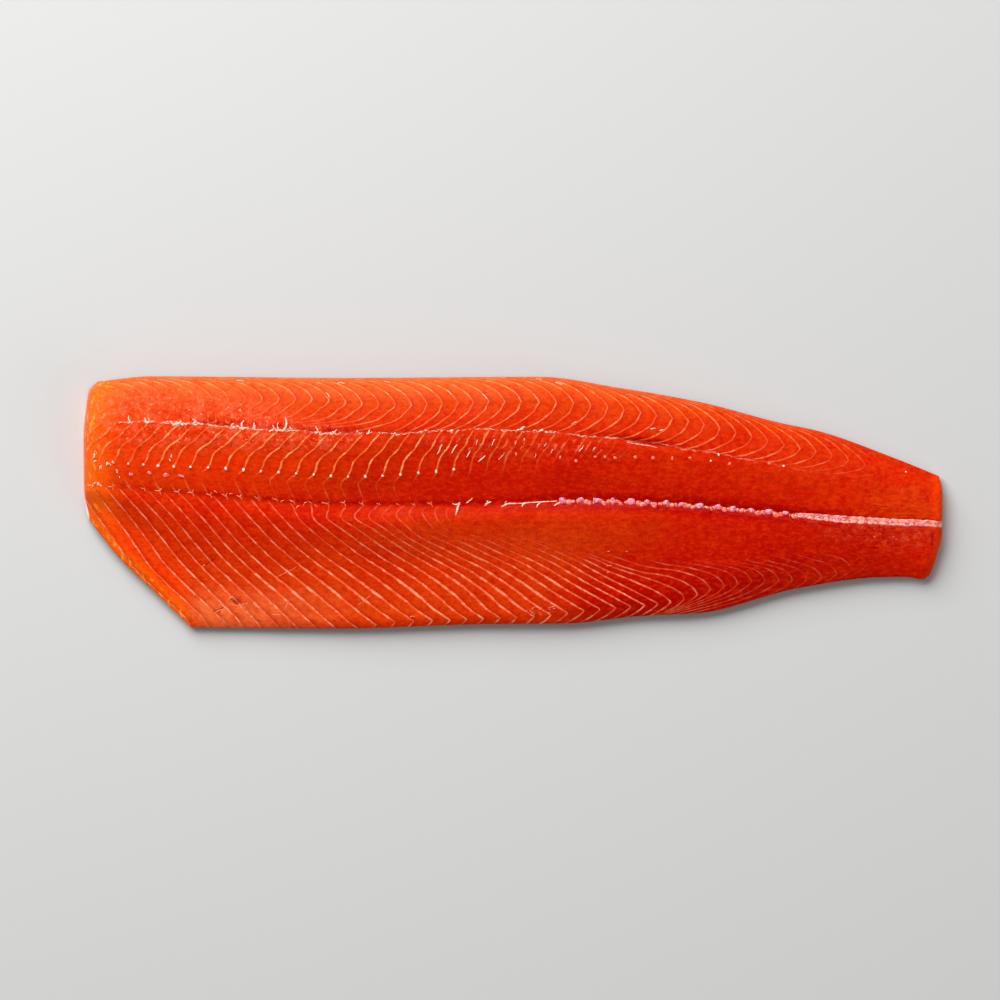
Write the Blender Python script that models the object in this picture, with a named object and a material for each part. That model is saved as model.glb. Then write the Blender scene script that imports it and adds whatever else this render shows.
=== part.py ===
"""Raw salmon fillet, lying skin side down: the flesh, and the skin under it.

Metres, +Z up. +X runs to the tail and +Y to the fish's back. The origin is the
middle of the footprint, on the surface that the fillet lies on. The sizes below
are in millimetres, and `make_solid` turns them into metres.

A point on the fillet is named by two numbers. Its reach runs from 0 at the head
cut to 1 at the tail cut. Its lane runs across: 0 is the back edge, 1 the crease
along the loin, 2 the midline, and 3 the belly edge.
"""

import bmesh
import bpy
import numpy as np

MM = 0.001
BACK, CREASE, MIDLINE, BELLY = 0.0, 1.0, 2.0, 3.0

# Driving thicknesses.
SKIN_THICKNESS = 0.8
SKIN_GAP = 0.3

# The skin's edge stands this far out past the flesh at the head cut.
SKIN_LIP = 0.7

# The outline from above. The back and belly edges are y at x, the cuts are x at y.
BACK_EDGE = ((-187, 54.4), (-163, 56.8), (-73, 56.1), (12, 56.6), (48, 51.6), (84, 45.3),
             (120, 36.0), (138, 32.1), (174, 19.2), (192, 11.9))
BELLY_CUT = ((-191, -7.0), (-185.5, -14.4), (-176.5, -25.4), (-160, -41.3), (-144.7, -56.2))
BELLY_EDGE = ((-144.7, -56.2), (-78, -56.8), (-10, -54.8), (22, -54.6), (57, -51.2), (84, -49.8),
              (129, -38.5), (165, -33.7), (176, -33.5), (185, -34.8))
HEAD_CUT = ((-7, -191), (6, -193.4), (28, -193.6), (44, -192.2), (50.5, -190.8), (54.4, -187))
TAIL_CUT = ((-34.8, 185), (-33, 187.6), (-23, 191.4), (-14, 193.4), (4, 193.6), (11.9, 192))

# The two lines that run the length of the fillet.
CREASE_LINE = ((-192, 36.5), (-156, 35.8), (-112, 32.6), (-68, 30.8), (-10, 33.0), (40, 29.4),
               (84, 22.7), (152, 11.0), (193, 2.5))
MIDLINE_LINE = ((-192, 7.9), (-144, 3.8), (-76, -0.8), (-28, -1.1), (22, 0.7), (53, 0.2),
                (124, -5.2), (152, -7.7), (193, -9.7))

# Height of the upper face over the board along each lane, before the rims are rounded.
BACK_HEIGHT = ((-194, 16.0), (-100, 17.0), (20, 16.0), (100, 12.0), (194, 6.5))
CREASE_HEIGHT = ((-194, 20.0), (-120, 21.5), (-20, 20.5), (60, 18.0), (120, 14.5), (194, 9.0))
LOIN_HEIGHT = ((-194, 18.5), (-100, 18.6), (0, 17.6), (60, 16.3), (120, 13.6), (194, 9.4))
MIDLINE_HEIGHT = ((-194, 15.0), (-95, 13.8), (-40, 14.0), (60, 13.4), (130, 11.7), (194, 9.0))
RIB_HEIGHT = ((-194, 14.0), (-120, 13.4), (-95, 14.0), (-40, 14.9), (20, 14.9), (60, 14.0),
              (130, 11.9), (194, 9.0))
FLANK_HEIGHT = ((-194, 9.5), (-100, 9.0), (20, 11.0), (110, 11.0), (194, 8.2))
BELLY_HEIGHT = ((-194, 6.5), (-144, 5.5), (-60, 7.5), (60, 8.5), (130, 8.5), (194, 6.5))
HEIGHT_LINES = (BACK_HEIGHT, CREASE_HEIGHT, LOIN_HEIGHT, MIDLINE_HEIGHT, RIB_HEIGHT, FLANK_HEIGHT,
                BELLY_HEIGHT)
HEIGHT_LANES = (BACK, CREASE, 1.5, MIDLINE, 2.15, 2.5, BELLY)

# Grooves: depth along x, and half width.
CREASE_DEPTH = ((-194, 0.3), (-130, 0.9), (0, 0.8), (50, 1.3), (90, 0.6), (150, 0.2), (194, 0.1))
MIDLINE_DEPTH = ((-194, 0.3), (-60, 0.5), (20, 0.8), (110, 0.9), (194, 0.6))
GROOVE_HALF_WIDTH = 1.5

# Each rim is a short wall with a quarter ellipse over it: (share of height, radius).
BACK_RIM = (0.25, 11.0)
HEAD_RIM = (0.30, 5.0)
TAIL_RIM = (0.40, 3.0)

# The belly's rim is tight by the head and rounds down widely by the tail.
BELLY_WALL = 0.35
BELLY_RADIUS = ((-194, 5.0), (-20, 5.5), (45, 10.0), (85, 17.0), (140, 15.0), (194, 9.0))

# The skin curls up under the long edges: (rise, width of the curl).
BACK_CURL = (4.0, 14.0)
BELLY_CURL = (1.8, 9.0)

# Where the mesh has its rows and columns.
LANES = (0, 0.06, 0.16, 0.32, 0.6, 0.9, 1.0, 1.06, 1.3, 1.6, 1.93, 2.0, 2.04, 2.18, 2.4, 2.64, 2.8,
         2.9, 2.97, 3.0)
HEAD_REACHES = (0, 0.002, 0.006)
TAIL_REACHES = (0.994, 0.998, 1)
CORNER_COLUMNS = 8
LENGTH_COLUMNS = 42

FLESH_COLOUR = (0.85, 0.13, 0.02, 1.0)
SKIN_COLOUR = (0.42, 0.45, 0.46, 1.0)


def smooth(points, at):
    """Read a curve through (x, y) points at the given x. It never overshoots a point."""
    x, y = np.array(points, float).T
    step = np.diff(x)
    slope = np.diff(y) / step
    before, after = slope[:-1], slope[1:]
    turning = before * after <= 0
    mean = 2 * before * after / np.where(turning, 1, before + after)
    tangent = np.concatenate(([slope[0]], np.where(turning, 0, mean), [slope[-1]]))
    at = np.clip(at, x[0], x[-1])
    k = np.clip(np.searchsorted(x, at, side="right") - 1, 0, len(step) - 1)
    t = (at - x[k]) / step[k]
    rise = t * t * (3 - 2 * t)
    leave = t * (1 - t) ** 2 * step[k] * tangent[k]
    arrive = t * t * (t - 1) * step[k] * tangent[k + 1]
    return y[k] + (y[k + 1] - y[k]) * rise + leave + arrive


def belly_y(x):
    """The belly edge's y at x: the slanting cut, and past its corner the long edge."""
    return np.where(x < BELLY_EDGE[0][0], smooth(BELLY_CUT, x), smooth(BELLY_EDGE, x))


def lane_y(x, lane):
    """Where a lane lies at x, between the edges and lines on its two sides."""
    lines = (smooth(BACK_EDGE, x), smooth(CREASE_LINE, x), smooth(MIDLINE_LINE, x), belly_y(x))
    return sum(np.clip(1 - abs(lane - k), 0, 1) * line for k, line in enumerate(lines))


def across(lane, heights):
    """Smooth height at a lane, through the heights given at HEIGHT_LANES."""
    knots, last = HEIGHT_LANES, len(HEIGHT_LANES) - 1
    result = np.zeros_like(lane)
    for k in range(last):
        def slope(n):
            low, high = max(n - 1, 0), min(n + 1, last)
            return (heights[high] - heights[low]) / (knots[high] - knots[low])
        step = knots[k + 1] - knots[k]
        t = (lane - knots[k]) / step
        curve = (heights[k] + (heights[k + 1] - heights[k]) * t * t * (3 - 2 * t)
                 + t * (1 - t) ** 2 * step * slope(k) + t * t * (t - 1) * step * slope(k + 1))
        result = np.where((t >= 0) & (t <= 1), curve, result)
    return result


def rim(distance, wall, radius):
    """Share of the full height at a distance inside a rim."""
    inward = np.clip(distance / radius, 0, 1)
    return wall + (1 - wall) * np.sqrt(1 - (1 - inward) ** 2)


def curl(distance, shape):
    """How far the underside has risen at a distance inside a long edge."""
    rise, width = shape
    return rise * np.clip(1 - distance / width, 0, 1) ** 2


def groove(distance, depth):
    """Depth of a groove at a distance from its middle."""
    return depth * np.exp(-(distance / GROOVE_HALF_WIDTH) ** 2)


class Fillet:
    """The fillet's faces as grids of points: x, y, and the height of each layer."""

    def __init__(self, reaches, lanes, lip):
        """Lip is how far the head cut stands back from the outline."""
        reach, lane = np.meshgrid(reaches, lanes, indexing="ij")
        self.head = smooth(HEAD_CUT, lane_y(HEAD_CUT[1][1], lane)) + lip
        self.tail = smooth(TAIL_CUT, lane_y(TAIL_CUT[3][1], lane))
        self.x = self.head + (self.tail - self.head) * reach
        self.y = lane_y(self.x, lane)
        slant = belly_y(self.x + 0.5) - belly_y(self.x - 0.5)
        self.to_back = smooth(BACK_EDGE, self.x) - self.y
        self.to_belly = (self.y - belly_y(self.x)) / np.hypot(1, slant)
        self.under = self._under()
        self.top = self._top(lane)

    def _under(self):
        """Height of the skin's lower face: flat, and curled up at the long edges."""
        plump = smooth(CREASE_HEIGHT, self.x) / CREASE_HEIGHT[1][1]
        return plump * curl(self.to_back, BACK_CURL) + curl(self.to_belly, BELLY_CURL)

    def _top(self, lane):
        """Height of the flesh's upper face."""
        height = across(lane, [smooth(line, self.x) for line in HEIGHT_LINES])
        lines = ((CREASE_LINE, CREASE_DEPTH), (MIDLINE_LINE, MIDLINE_DEPTH))
        for line, depth in lines:
            height -= groove(self.y - smooth(line, self.x), smooth(depth, self.x))
        share = rim(self.to_back, *BACK_RIM)
        share *= rim(self.to_belly, BELLY_WALL, smooth(BELLY_RADIUS, self.x))
        share *= rim(self.x - self.head, *HEAD_RIM) * rim(self.tail - self.x, *TAIL_RIM)
        base = self.flesh_base()
        return base + (height - base) * share

    def flesh_base(self):
        """Height of the flesh's lower face."""
        return self.under + SKIN_THICKNESS + SKIN_GAP

    def middle(self):
        """The middle of the footprint."""
        return [(side.min() + side.max()) / 2 for side in (self.x, self.y)]


def column_reaches():
    """Reaches of the mesh's columns, close together at the cuts, with one on the corner."""
    corner = (BELLY_EDGE[0][0] - BELLY_CUT[0][0]) / (BELLY_EDGE[-1][0] - BELLY_CUT[0][0])
    front = np.linspace(0.013, corner, CORNER_COLUMNS)
    rest = np.linspace(corner, 0.986, LENGTH_COLUMNS)[1:]
    return np.concatenate((HEAD_REACHES, front, rest, TAIL_REACHES))


def make_solid(name, fillet, middle, lower, upper, colour):
    """Join a lower and an upper face by walls, as one closed object about the middle."""
    columns, rows = fillet.x.shape
    middle_x, middle_y = middle
    mesh = bmesh.new()
    sheets = []
    for height in (lower, upper):
        sheets.append([[mesh.verts.new(((fillet.x[i, j] - middle_x) * MM,
                                        (fillet.y[i, j] - middle_y) * MM, height[i, j] * MM))
                        for j in range(rows)] for i in range(columns)])
    for sheet in sheets:
        for i in range(columns - 1):
            for j in range(rows - 1):
                mesh.faces.new((sheet[i][j], sheet[i + 1][j], sheet[i + 1][j + 1], sheet[i][j + 1]))
    border = ([(i, 0) for i in range(columns)] + [(columns - 1, j) for j in range(1, rows)]
              + [(i, rows - 1) for i in range(columns - 2, -1, -1)]
              + [(0, j) for j in range(rows - 2, 0, -1)])
    for (a, b), (c, d) in zip(border, border[1:] + border[:1]):
        mesh.faces.new((sheets[0][a][b], sheets[0][c][d], sheets[1][c][d], sheets[1][a][b]))
    bmesh.ops.triangulate(mesh, faces=mesh.faces[:])
    bmesh.ops.recalc_face_normals(mesh, faces=mesh.faces[:])
    data = bpy.data.meshes.new(name)
    mesh.to_mesh(data)
    mesh.free()
    data.shade_smooth()
    data.set_sharp_from_angle(angle=np.radians(50))
    data.materials.append(make_material(name, colour))
    solid = bpy.data.objects.new(name, data)
    bpy.context.scene.collection.objects.link(solid)
    return solid


def make_material(name, colour):
    """A wet, plain Principled material."""
    material = bpy.data.materials.new(name)
    material.use_nodes = True
    shader = material.node_tree.nodes["Principled BSDF"]
    shader.inputs["Base Color"].default_value = colour
    shader.inputs["Roughness"].default_value = 0.35
    shader.inputs["Metallic"].default_value = 0.0
    return material


def main():
    """Clear the scene and make the flesh and the skin."""
    for old in list(bpy.data.objects):
        bpy.data.objects.remove(old)
    skin = Fillet(column_reaches(), LANES, 0.0)
    flesh = Fillet(column_reaches(), LANES, SKIN_LIP)
    middle = skin.middle()
    make_solid("flesh", flesh, middle, flesh.flesh_base(), flesh.top, FLESH_COLOUR)
    make_solid("skin", skin, middle, skin.under, skin.under + SKIN_THICKNESS, SKIN_COLOUR)


main()
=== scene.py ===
"""The looks of a raw salmon fillet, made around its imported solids.

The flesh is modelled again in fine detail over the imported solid: the flakes and
the pale sheets between them, the crease along the loin, and the midline with its
beads of fat. So is the skin. Lengths are in millimetres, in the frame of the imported
model, and `Placement` turns them into metres. +X runs to the tail and +Y to the
fish's back. A lane says how far across a point lies: 0 is the back edge, 1 the
crease, 2 the midline and 3 the belly edge.
"""

from __future__ import annotations

import logging
import math
from dataclasses import dataclass, field
from enum import Enum
from typing import Any

import bpy
import numpy as np
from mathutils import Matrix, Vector

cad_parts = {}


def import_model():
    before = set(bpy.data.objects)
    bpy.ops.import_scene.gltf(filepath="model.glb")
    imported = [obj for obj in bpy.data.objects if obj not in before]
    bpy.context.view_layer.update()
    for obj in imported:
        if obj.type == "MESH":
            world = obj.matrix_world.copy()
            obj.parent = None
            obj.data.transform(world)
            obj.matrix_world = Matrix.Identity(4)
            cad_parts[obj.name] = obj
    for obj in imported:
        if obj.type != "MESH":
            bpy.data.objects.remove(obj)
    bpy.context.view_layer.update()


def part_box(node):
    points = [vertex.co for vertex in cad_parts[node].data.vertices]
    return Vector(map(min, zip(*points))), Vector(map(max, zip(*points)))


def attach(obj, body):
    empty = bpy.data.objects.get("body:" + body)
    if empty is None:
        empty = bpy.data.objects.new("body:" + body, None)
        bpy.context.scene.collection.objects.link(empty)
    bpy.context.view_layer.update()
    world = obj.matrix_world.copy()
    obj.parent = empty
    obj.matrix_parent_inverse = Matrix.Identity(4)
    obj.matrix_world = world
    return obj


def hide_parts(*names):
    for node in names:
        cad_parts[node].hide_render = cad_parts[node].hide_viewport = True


LOG = logging.getLogger("salmon_fillet")
BODY = "root"
MM = 0.001

Array = np.ndarray
Pair = tuple[float, float]
Triple = tuple[float, float, float]
Colour = tuple[float, float, float, float]
Faces = list[tuple[int, ...]]
Material = bpy.types.Material
Thing = bpy.types.Object


# --- Small tools ---


def srgb(red: int, green: int, blue: int) -> Colour:
    """Turn a screen's colour, each part 0 to 255, into scene light with an alpha of 1."""
    parts = [part / 255 for part in (red, green, blue)]
    return (*(p / 12.92 if p <= 0.04045 else ((p + 0.055) / 1.055) ** 2.4 for p in parts), 1.0)


def fade(value: Array, start: float, end: float) -> Array:
    """Run smoothly from 0 at start to 1 at end, which may be the lower of the two."""
    share = np.clip((value - start) / (end - start), 0, 1)
    return share * share * (3 - 2 * share)


def bell(distance: Array, half_width: float) -> Array:
    """A smooth bump: 1 at no distance, and almost 0 at twice the half width."""
    return np.exp(-((distance / half_width) ** 2))


@dataclass(frozen=True)
class Track:
    """A smooth curve through given points, which never overshoots them."""

    points: tuple[Pair, ...]

    def at(self, where: Array | float) -> Array:
        """Read the curve, which stays level past its ends.

        Args:
            where: The places to read.

        Returns:
            The curve's values there.
        """
        x, y = np.array(self.points, float).T
        step = np.diff(x)
        slope = np.diff(y) / step
        before, after = slope[:-1], slope[1:]
        turning = before * after <= 0
        mean = 2 * before * after / np.where(turning, 1, before + after)
        tangent = np.concatenate(([slope[0]], np.where(turning, 0, mean), [slope[-1]]))
        where = np.clip(where, x[0], x[-1])
        k = np.clip(np.searchsorted(x, where, side="right") - 1, 0, len(step) - 1)
        t = (where - x[k]) / step[k]
        leave = t * (1 - t) ** 2 * step[k] * tangent[k]
        arrive = t * t * (t - 1) * step[k] * tangent[k + 1]
        return y[k] + (y[k + 1] - y[k]) * t * t * (3 - 2 * t) + leave + arrive


@dataclass(frozen=True)
class LaneField:
    """A value over the whole fillet: one curve along the length for each of a few lanes."""

    lanes: tuple[float, ...]
    rows: tuple[tuple[Pair, ...], ...]

    def at(self, x: Array, lane: Array) -> Array:
        """Read the value, smooth from lane to lane.

        Args:
            x: Places along it.
            lane: Lanes there.

        Returns:
            The values there.
        """
        knots, last = self.lanes, len(self.lanes) - 1
        values = [Track(row).at(x) for row in self.rows]
        lane = np.clip(lane, knots[0], knots[-1])
        result = np.zeros_like(x)
        for k in range(last):
            step = knots[k + 1] - knots[k]
            t = (lane - knots[k]) / step
            ends = []
            for n in (k, k + 1):
                low, high = max(n - 1, 0), min(n + 1, last)
                ends.append((values[high] - values[low]) / (knots[high] - knots[low]) * step)
            curve = (values[k] + (values[k + 1] - values[k]) * t * t * (3 - 2 * t)
                     + t * (1 - t) ** 2 * ends[0] + t * t * (t - 1) * ends[1])
            result = np.where((t >= 0) & (t <= 1), curve, result)
        return result


@dataclass(frozen=True)
class Ripple:
    """Smooth, uneven waves with no direction of their own."""

    shortest: float
    longest: float
    seed: int
    waves: int = 14

    def at(self, x: Array, y: Array) -> Array:
        """Read the waves.

        Args:
            x: Places along it.
            y: Places across it.

        Returns:
            Values that mostly lie between -1 and 1.
        """
        draw = np.random.default_rng(self.seed)
        total = np.zeros_like(x, dtype=float)
        for _ in range(self.waves):
            length = draw.uniform(self.shortest, self.longest)
            turn, start = draw.uniform(0, 2 * math.pi, 2)
            total += np.sin((x * math.cos(turn) + y * math.sin(turn)) * 2 * math.pi / length + start)
        return total / math.sqrt(self.waves / 2) / 1.6


# --- The fillet's form ---


@dataclass(frozen=True)
class Rim:
    """The fillet's edge: a short wall with a quarter ellipse over it."""

    wall: float
    radius: Track

    def share(self, distance: Array, x: Array) -> Array:
        """Share of the full height at a distance inside the edge, from the wall's share up to 1."""
        inward = np.clip(distance / self.radius.at(x), 0, 1)
        return self.wall + (1 - self.wall) * np.sqrt(1 - (1 - inward) ** 2)


def level(value: float) -> Track:
    """A curve with the same value everywhere."""
    return Track(((-200, value), (200, value)))


@dataclass(frozen=True)
class FilletForm:
    """The fillet's outline, guide lines and heights."""

    skin_thickness: float = 0.8
    skin_gap: float = 0.3
    skin_lip: float = 0.7
    back_edge: Track = Track((
        (-187, 54.4), (-163, 56.8), (-73, 56.1), (12, 56.6), (48, 51.6), (84, 45.3), (120, 36),
        (138, 32.1), (174, 19.2), (192, 11.9)))
    belly_cut: Track = Track(((-191, -7), (-185.5, -14.4), (-176.5, -25.4), (-160, -41.3), (-144.7, -56.2)))
    belly_edge: Track = Track((
        (-144.7, -56.2), (-78, -56.8), (-10, -54.8), (22, -54.6), (57, -51.2), (84, -49.8), (129, -38.5),
        (165, -33.7), (176, -33.5), (185, -34.8)))
    head_cut: Track = Track((
        (-7, -191), (6, -193.4), (28, -193.6), (44, -192.2), (50.5, -190.8), (54.4, -187)))
    tail_cut: Track = Track((
        (-34.8, 185), (-33, 187.6), (-23, 191.4), (-14, 193.4), (4, 193.6), (11.9, 192)))
    crease: Track = Track((
        (-192, 36.5), (-156, 35.8), (-112, 32.6), (-68, 30.8), (-10, 33), (40, 29.4), (84, 22.7),
        (152, 11), (193, 2.5)))
    midline: Track = Track((
        (-192, 7.9), (-144, 3.8), (-76, -0.8), (-28, -1.1), (22, 0.7), (53, 0.2), (124, -5.2),
        (152, -7.7), (193, -9.7)))
    crest: Track = Track(((-194, 20), (-120, 21.5), (-20, 20.5), (60, 18), (120, 14.5), (194, 9)))
    heights: LaneField = LaneField((0, 1, 1.5, 2, 2.15, 2.5, 3), (
        ((-194, 16), (-100, 17), (20, 16), (100, 12), (194, 6.5)),
        crest.points,
        ((-194, 18.5), (-100, 18.6), (0, 17.6), (60, 16.3), (120, 13.6), (194, 9.4)),
        ((-194, 15), (-95, 13.8), (-40, 14), (60, 13.4), (130, 11.7), (194, 9)),
        ((-194, 14), (-120, 13.4), (-95, 14), (-40, 14.9), (20, 14.9), (60, 14), (130, 11.9), (194, 9)),
        ((-194, 9.5), (-100, 9), (20, 11), (110, 11), (194, 8.2)),
        ((-194, 6.5), (-144, 5.5), (-60, 7.5), (60, 8.5), (130, 8.5), (194, 6.5)),
    ))
    back_rim: Rim = Rim(0.25, level(11.0))
    belly_rim: Rim = Rim(0.35, Track(((-194, 5), (-20, 5.5), (45, 10), (85, 17), (140, 15), (194, 9))))
    head_rim: Rim = Rim(0.30, level(5.0))
    tail_rim: Rim = Rim(0.40, level(3.0))
    back_curl: Pair = (4.0, 14.0)
    belly_curl: Pair = (1.8, 9.0)

    def belly_y(self, x: Array) -> Array:
        """The belly edge's y at x: the slanting cut, and past its corner the long edge."""
        corner = self.belly_edge.points[0][0]
        return np.where(x < corner, self.belly_cut.at(x), self.belly_edge.at(x))

    def lines(self, x: Array) -> list[Array]:
        """The y of the back edge, the crease, the midline and the belly edge at x."""
        return [self.back_edge.at(x), self.crease.at(x), self.midline.at(x), self.belly_y(x)]

    def lane_y(self, x: Array, lane: Array) -> Array:
        """Where a lane lies across the fillet at x."""
        return sum(np.clip(1 - abs(lane - k), 0, 1) * line for k, line in enumerate(self.lines(x)))

    def lane_at(self, x: Array, y: Array) -> Array:
        """The lane of a point.

        Args:
            x: Places along it.
            y: Places across it.

        Returns:
            Lanes, from 0 to 3.
        """
        lines = self.lines(x)
        lane = np.zeros_like(x)
        for upper, lower in zip(lines[:-1], lines[1:]):
            lane = lane + np.clip((upper - y) / np.maximum(upper - lower, 0.01), 0, 1)
        return lane

    def reach_limits(self, lane: Array, lip: float) -> tuple[Array, Array]:
        """The x of the head cut and of the tail cut along a lane.

        Args:
            lane: The lanes to read.
            lip: How far the head cut stands back from the outline.

        Returns:
            The two x values.
        """
        at_head = np.full_like(lane, self.head_cut.points[1][1])
        at_tail = np.full_like(lane, self.tail_cut.points[3][1])
        head = self.head_cut.at(self.lane_y(at_head, lane)) + lip
        return head, self.tail_cut.at(self.lane_y(at_tail, lane))

    def to_belly(self, x: Array, y: Array) -> Array:
        """Distance inside the belly edge, square to it."""
        slant = self.belly_y(x + 0.5) - self.belly_y(x - 0.5)
        return (y - self.belly_y(x)) / np.hypot(1, slant)

    def under(self, x: Array, y: Array) -> Array:
        """Height of the skin's lower face: flat, and curled up at the long edges.

        Args:
            x: Places along it.
            y: Places across it.

        Returns:
            Heights over the floor.
        """
        plump = self.crest.at(x) / self.crest.points[1][1]
        back = np.clip(1 - (self.back_edge.at(x) - y) / self.back_curl[1], 0, 1) ** 2
        belly = np.clip(1 - self.to_belly(x, y) / self.belly_curl[1], 0, 1) ** 2
        return plump * self.back_curl[0] * back + self.belly_curl[0] * belly

    def base(self, x: Array, y: Array) -> Array:
        """Height of the flesh's lower face."""
        return self.under(x, y) + self.skin_thickness + self.skin_gap

    def rim_share(self, x: Array, y: Array, limits: tuple[Array, Array]) -> Array:
        """Share of the full height that the four rims leave at a point.

        Args:
            x: Places along it.
            y: Places across it.
            limits: The x of the head cut and of the tail cut in each point's lane.

        Returns:
            Values from 0 to 1.
        """
        head, tail = limits
        share = self.back_rim.share(self.back_edge.at(x) - y, x)
        share = share * self.belly_rim.share(self.to_belly(x, y), x)
        return share * self.head_rim.share(x - head, x) * self.tail_rim.share(tail - x, x)


@dataclass(frozen=True)
class Placement:
    """Where the form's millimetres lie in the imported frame, in metres."""

    shift: Triple

    @classmethod
    def from_frame(cls, form: FilletForm) -> Placement:
        """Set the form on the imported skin.

        Args:
            form: The fillet's form.

        Returns:
            The placement that puts the form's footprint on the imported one.
        """
        low, high = (np.array(corner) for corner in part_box("skin"))
        lane = np.linspace(0, 3, 400)
        head, tail = form.reach_limits(lane, 0)
        along = np.linspace(head.min(), tail.max(), 2000)
        middle_x = (head.min() + tail.max()) / 2
        middle_y = (form.back_edge.at(along).max() + form.belly_y(along).min()) / 2
        centre = (low + high) / 2
        return cls((centre[0] - middle_x * MM, centre[1] - middle_y * MM, low[2]))

    def metres(self, points: Array) -> Array:
        """Turn points in the form's millimetres into the frame's metres."""
        return np.asarray(points, float) * MM + np.array(self.shift)


# --- The pale sheets between the flakes ---


@dataclass(frozen=True)
class Septa:
    """A family of thin pale sheets between the flakes, seen on the surface as lines.

    Every line has a tip, its point nearest the tail, and is named by its tip's x.
    """

    count: Track

    def shift(self, tip: Array, side: Array) -> Array:
        """How far along x a line lies from its tip, below 0 towards the head."""
        raise NotImplementedError

    def tip_x(self, x: Array, side: Array) -> Array:
        """The x of the tip of the line through each point.

        Args:
            x: Places along it.
            side: Places across it, in the family's own measure.

        Returns:
            The tips' x values.
        """
        low, high = x - 60.0, x + 160.0
        for _ in range(24):
            middle = (low + high) / 2
            short = middle + self.shift(middle, side) < x
            low, high = np.where(short, middle, low), np.where(short, high, middle)
        return (low + high) / 2

    def phase(self, x: Array, side: Array) -> Array:
        """The count of lines passed at each point, whole on a line."""
        return self.count.at(self.tip_x(x, side))


@dataclass(frozen=True)
class BackSepta(Septa):
    """The chevrons between the back edge and the crease, read by lane."""

    count: Track = Track((
        (-330, -32), (-134.8, -6), (-89.8, 0), (-45.2, 6), (-3.4, 12), (43, 18), (86.2, 24), (129.4, 30),
        (158.6, 34), (330, 57)))
    tip_lane: Track = Track((
        (-134, 0.46), (-90, 0.38), (-74, 0.436), (-40, 0.495), (3, 0.47), (45, 0.42), (86, 0.445),
        (130, 0.52), (159, 0.54)))
    upper: Track = Track((
        (0, 0), (0.24, -1.8), (0.4, -3.6), (0.56, -6.3), (0.68, -9), (0.78, -12.2), (0.86, -17.1),
        (0.96, -27), (1, -36), (1.5, -48)))
    lower_head: Track = Track((
        (0, 0), (0.13, -0.9), (0.25, -3.6), (0.4, -5.9), (0.5, -8.1), (0.6, -11.7), (0.73, -24.8),
        (0.85, -36), (1, -50)))
    lower_tail: Track = Track((
        (0, 0), (0.18, -1.1), (0.3, -1.8), (0.5, -4.5), (0.7, -7.9), (0.8, -9.9), (0.9, -13), (1, -16.2)))
    show: LaneField = LaneField((0, 0.12, 0.3, 0.6, 0.9, 1.0), (
        ((-190, 0.8), (-60, 1), (120, 0.5), (150, 0.2), (170, 0)),
        ((-190, 0.9), (-100, 1), (60, 0.9), (130, 0.55), (155, 0.2), (165, 0)),
        ((-190, 0.4), (-140, 0.5), (-110, 0.9), (60, 1), (110, 0.7), (150, 0.5), (165, 0)),
        ((-190, 0), (-140, 0.15), (-118, 0.6), (-90, 0.95), (60, 1), (110, 0.7), (150, 0.5), (163, 0)),
        ((-190, 0), (-100, 0.1), (-60, 0.6), (-40, 0.9), (110, 0.9), (150, 0.3), (165, 0)),
        ((-190, 0), (-60, 0.3), (-30, 0.7), (100, 0.5), (150, 0.1), (165, 0)),
    ))

    def shift(self, tip: Array, side: Array) -> Array:
        """How far along x a chevron lies from its tip, at a lane."""
        middle = self.tip_lane.at(tip)
        up = self.upper.at((middle - side) / middle)
        down = (side - middle) / (1 - middle)
        by_tail = fade(tip, -57, -36)
        low = self.lower_head.at(down) * (1 - by_tail) + self.lower_tail.at(down) * by_tail
        return np.where(side < middle, up, low)


@dataclass(frozen=True)
class LoinSepta(Septa):
    """The slanting lines from the crease down to the row of pin bones, read by lane."""

    count: Track = Track((
        (-330, -21), (-179.3, 0), (-152.1, 4), (-120.8, 8), (-89.3, 12), (-58.3, 16), (-26.3, 20),
        (60, 31.5), (330, 67)))
    pin_lane: Track = Track((
        (-186, 1.61), (-158, 1.62), (-128, 1.585), (-97, 1.58), (-74, 1.6), (-34, 1.54), (-20, 1.5),
        (57, 1.27), (120, 1.03)))
    profile: Track = Track((
        (0, 0), (0.06, -1.8), (0.11, -3.6), (0.23, -6.8), (0.34, -11.3), (0.43, -13.5), (0.52, -14.4),
        (0.6, -15.8), (0.72, -19.4), (0.85, -18), (1, -15.3)))
    lean: Track = Track(((-110, 1), (-75, 0.9), (-50, 0.75), (-20, 0.6)))
    show: LaneField = LaneField((1.0, 1.08, 1.3, 1.45, 1.56, 1.68, 1.85, 2.0), (
        ((-190, 0.2), (-140, 0.5), (-100, 0.8), (-30, 0.9), (0, 0.3), (60, 0)),
        ((-190, 0.5), (-150, 0.8), (-100, 1), (-30, 1), (5, 0.4), (60, 0)),
        ((-190, 0.7), (-150, 0.95), (-100, 1), (-30, 1), (5, 0.3), (50, 0)),
        ((-190, 0.6), (-150, 0.9), (-100, 1), (-40, 0.9), (-15, 0.3), (30, 0)),
        ((-190, 0.3), (-150, 0.7), (-90, 0.8), (-50, 0.6), (-20, 0.15), (20, 0)),
        ((-190, 0.05), (-130, 0.1), (-100, 0.35), (-70, 0.35), (-40, 0)),
        ((-190, 0.15), (-120, 0.15), (-90, 0.2), (-60, 0.1), (-40, 0)),
        ((-190, 0.4), (-120, 0.3), (-80, 0)),
    ))

    def shift(self, tip: Array, side: Array) -> Array:
        """How far along x a line lies from its pin bone, at a lane."""
        pin = self.profile.at(self.pin_lane.at(tip) - 1)
        return self.lean.at(tip) * (self.profile.at(side - 1) - pin)


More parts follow.
